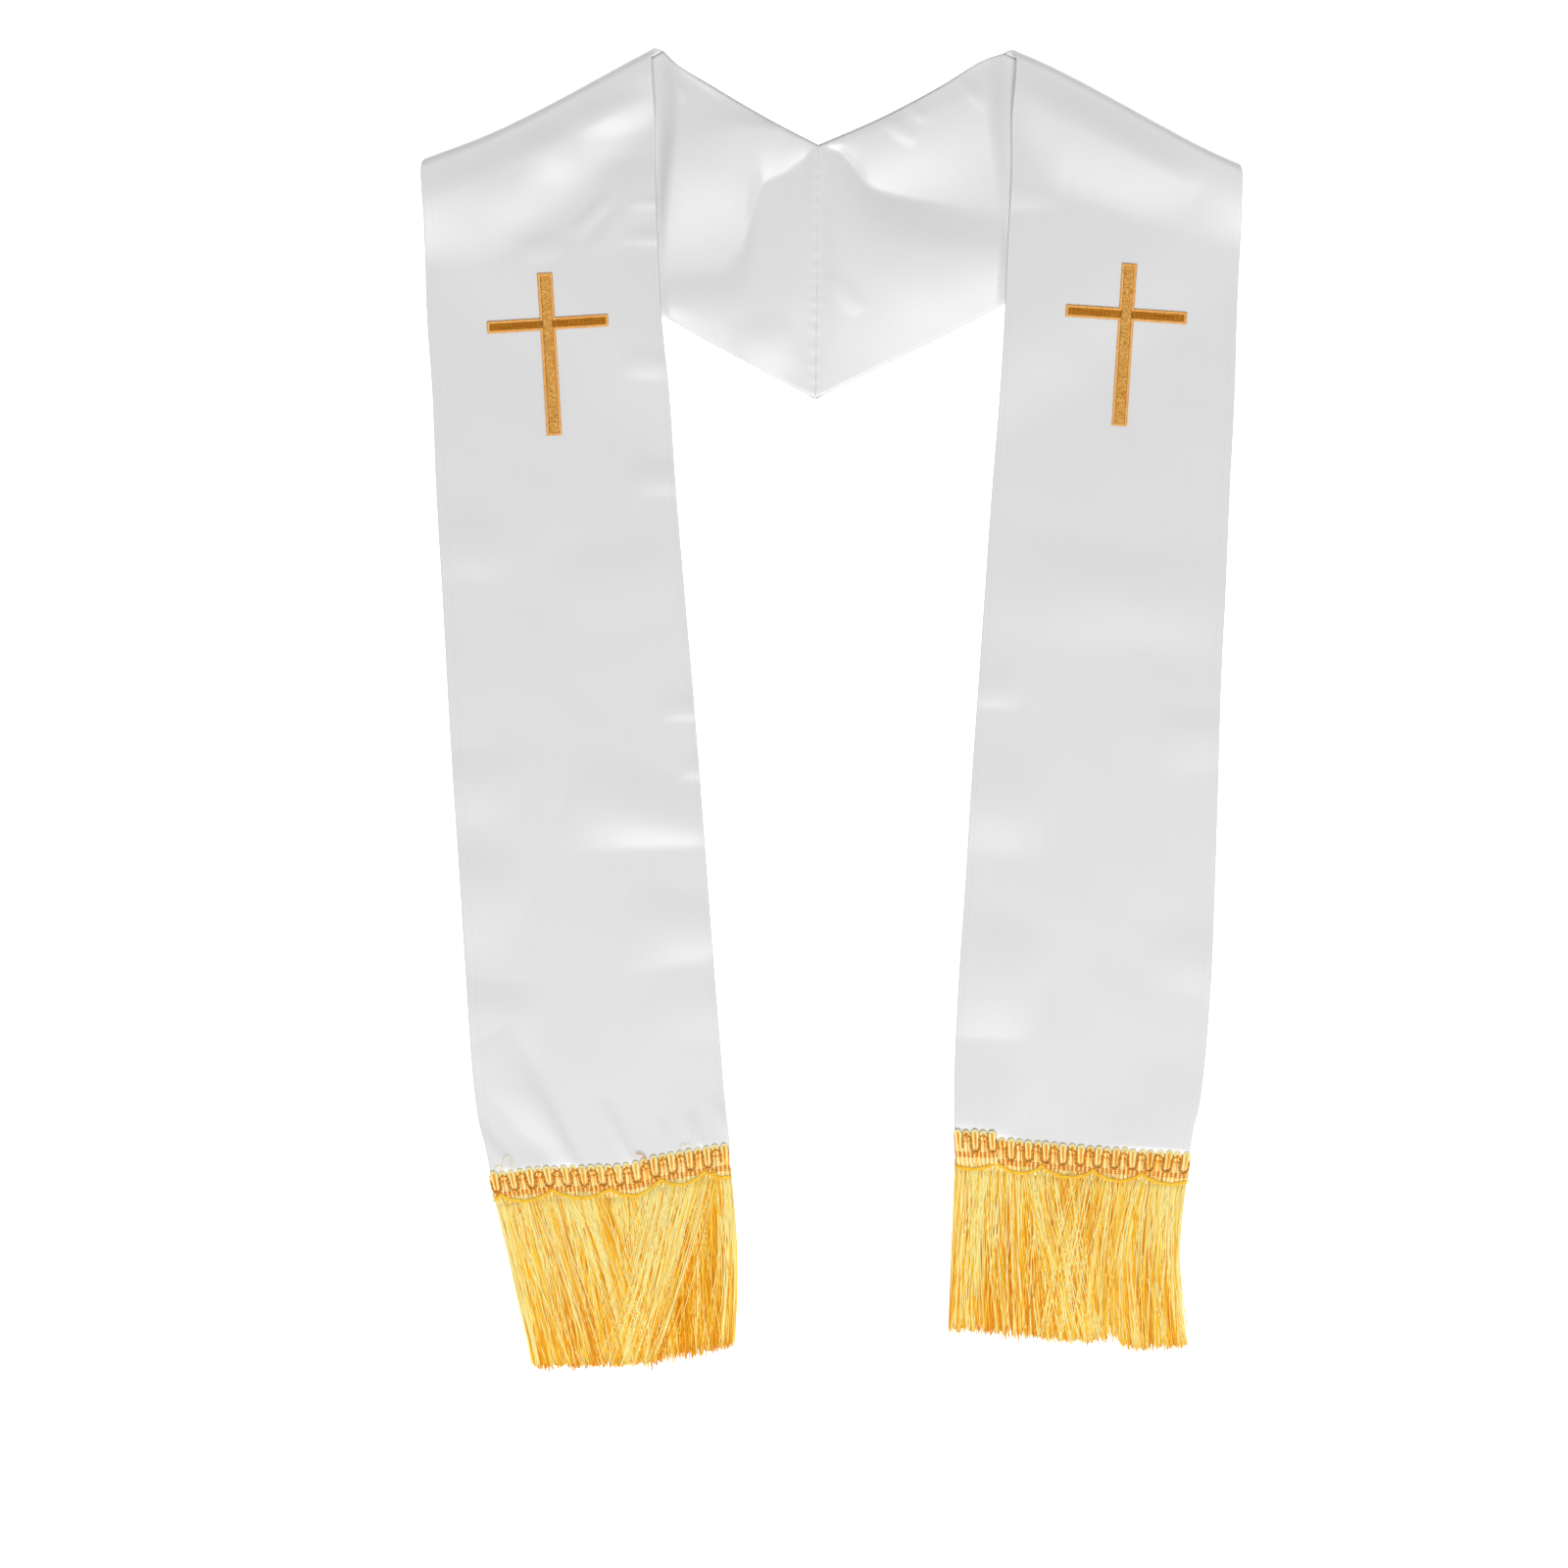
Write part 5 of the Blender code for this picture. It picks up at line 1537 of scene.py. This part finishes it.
# the lamp's distance from the middle, its tilt from straight above, its turn from the fringe end to the right
KEY_DISTANCE, KEY_TILT_DEG, KEY_TURN_DEG = 5.0, 26.0, 8.0
KEY_SIZE, KEY_POWER = (3.6, 2.3), 205.0
TABLE_GLOW, WORLD_LIGHT = 0.6, 0.35

bpy.ops.object.select_all(action="DESELECT")
bpy.ops.mesh.primitive_plane_add(size=12.0, location=(0.0, 0.0, -0.0003))
floor = bpy.context.object
floor.name = "floor"
paper, paper_tree, paper_shader = new_material("white_paper", 0.9, (0.97, 0.97, 0.97))
paper_shader.inputs["Emission Color"].default_value = (1.0, 1.0, 1.0, 1.0)
paper_shader.inputs["Emission Strength"].default_value = TABLE_GLOW
grain = paper_tree.nodes.new("ShaderNodeTexNoise")
grain.inputs["Scale"].default_value = 40.0
place = paper_tree.nodes.new("ShaderNodeTexCoord")
paper_tree.links.new(place.outputs["Object"], grain.inputs["Vector"])
paper_white = ramp(paper_tree, grain.outputs["Fac"], ((0.0, (0.96, 0.96, 0.96)), (1.0, (0.98, 0.98, 0.98))))
paper_tree.links.new(paper_white, paper_shader.inputs["Base Color"])
floor.data.materials.append(paper)

world = bpy.data.worlds.new("studio")
world.use_nodes = True
world.node_tree.nodes["Background"].inputs["Color"].default_value = (1.0, 1.0, 1.0, 1.0)
world.node_tree.nodes["Background"].inputs["Strength"].default_value = WORLD_LIGHT
bpy.context.scene.world = world

tilt, turn = math.radians(KEY_TILT_DEG), math.radians(KEY_TURN_DEG)
aim = (math.sin(tilt) * math.sin(turn), -math.sin(tilt) * math.cos(turn), math.cos(tilt))
bpy.ops.object.select_all(action="DESELECT")
bpy.ops.object.light_add(type="AREA", location=[KEY_DISTANCE * v for v in aim])
lamp = bpy.context.object
lamp.name = "key"
lamp.data.shape = "RECTANGLE"
lamp.data.size, lamp.data.size_y = KEY_SIZE
lamp.data.energy = KEY_POWER
lamp.rotation_euler = lamp.location.to_track_quat("Z", "Y").to_euler()

bpy.ops.object.select_all(action="DESELECT")
bpy.ops.object.camera_add(location=(*FRAME_CENTRE, CAMERA_HEIGHT), rotation=(0.0, 0.0, 0.0))
camera = bpy.context.object
camera.name = "camera"
camera.data.sensor_width = SENSOR_MM
camera.data.lens = SENSOR_MM * CAMERA_HEIGHT / FRAME_WIDTH
camera.data.clip_end = 50.0
bpy.context.scene.camera = camera
bpy.context.scene.view_settings.view_transform = "Standard"
bpy.context.scene.view_settings.look = "None"
print("lens in mm:", round(camera.data.lens, 1))

# %% [markdown]
# Last, the view layer is brought up to date. The dressed stole has to keep the frame's box.

# %% Finish
bpy.context.view_layer.update()
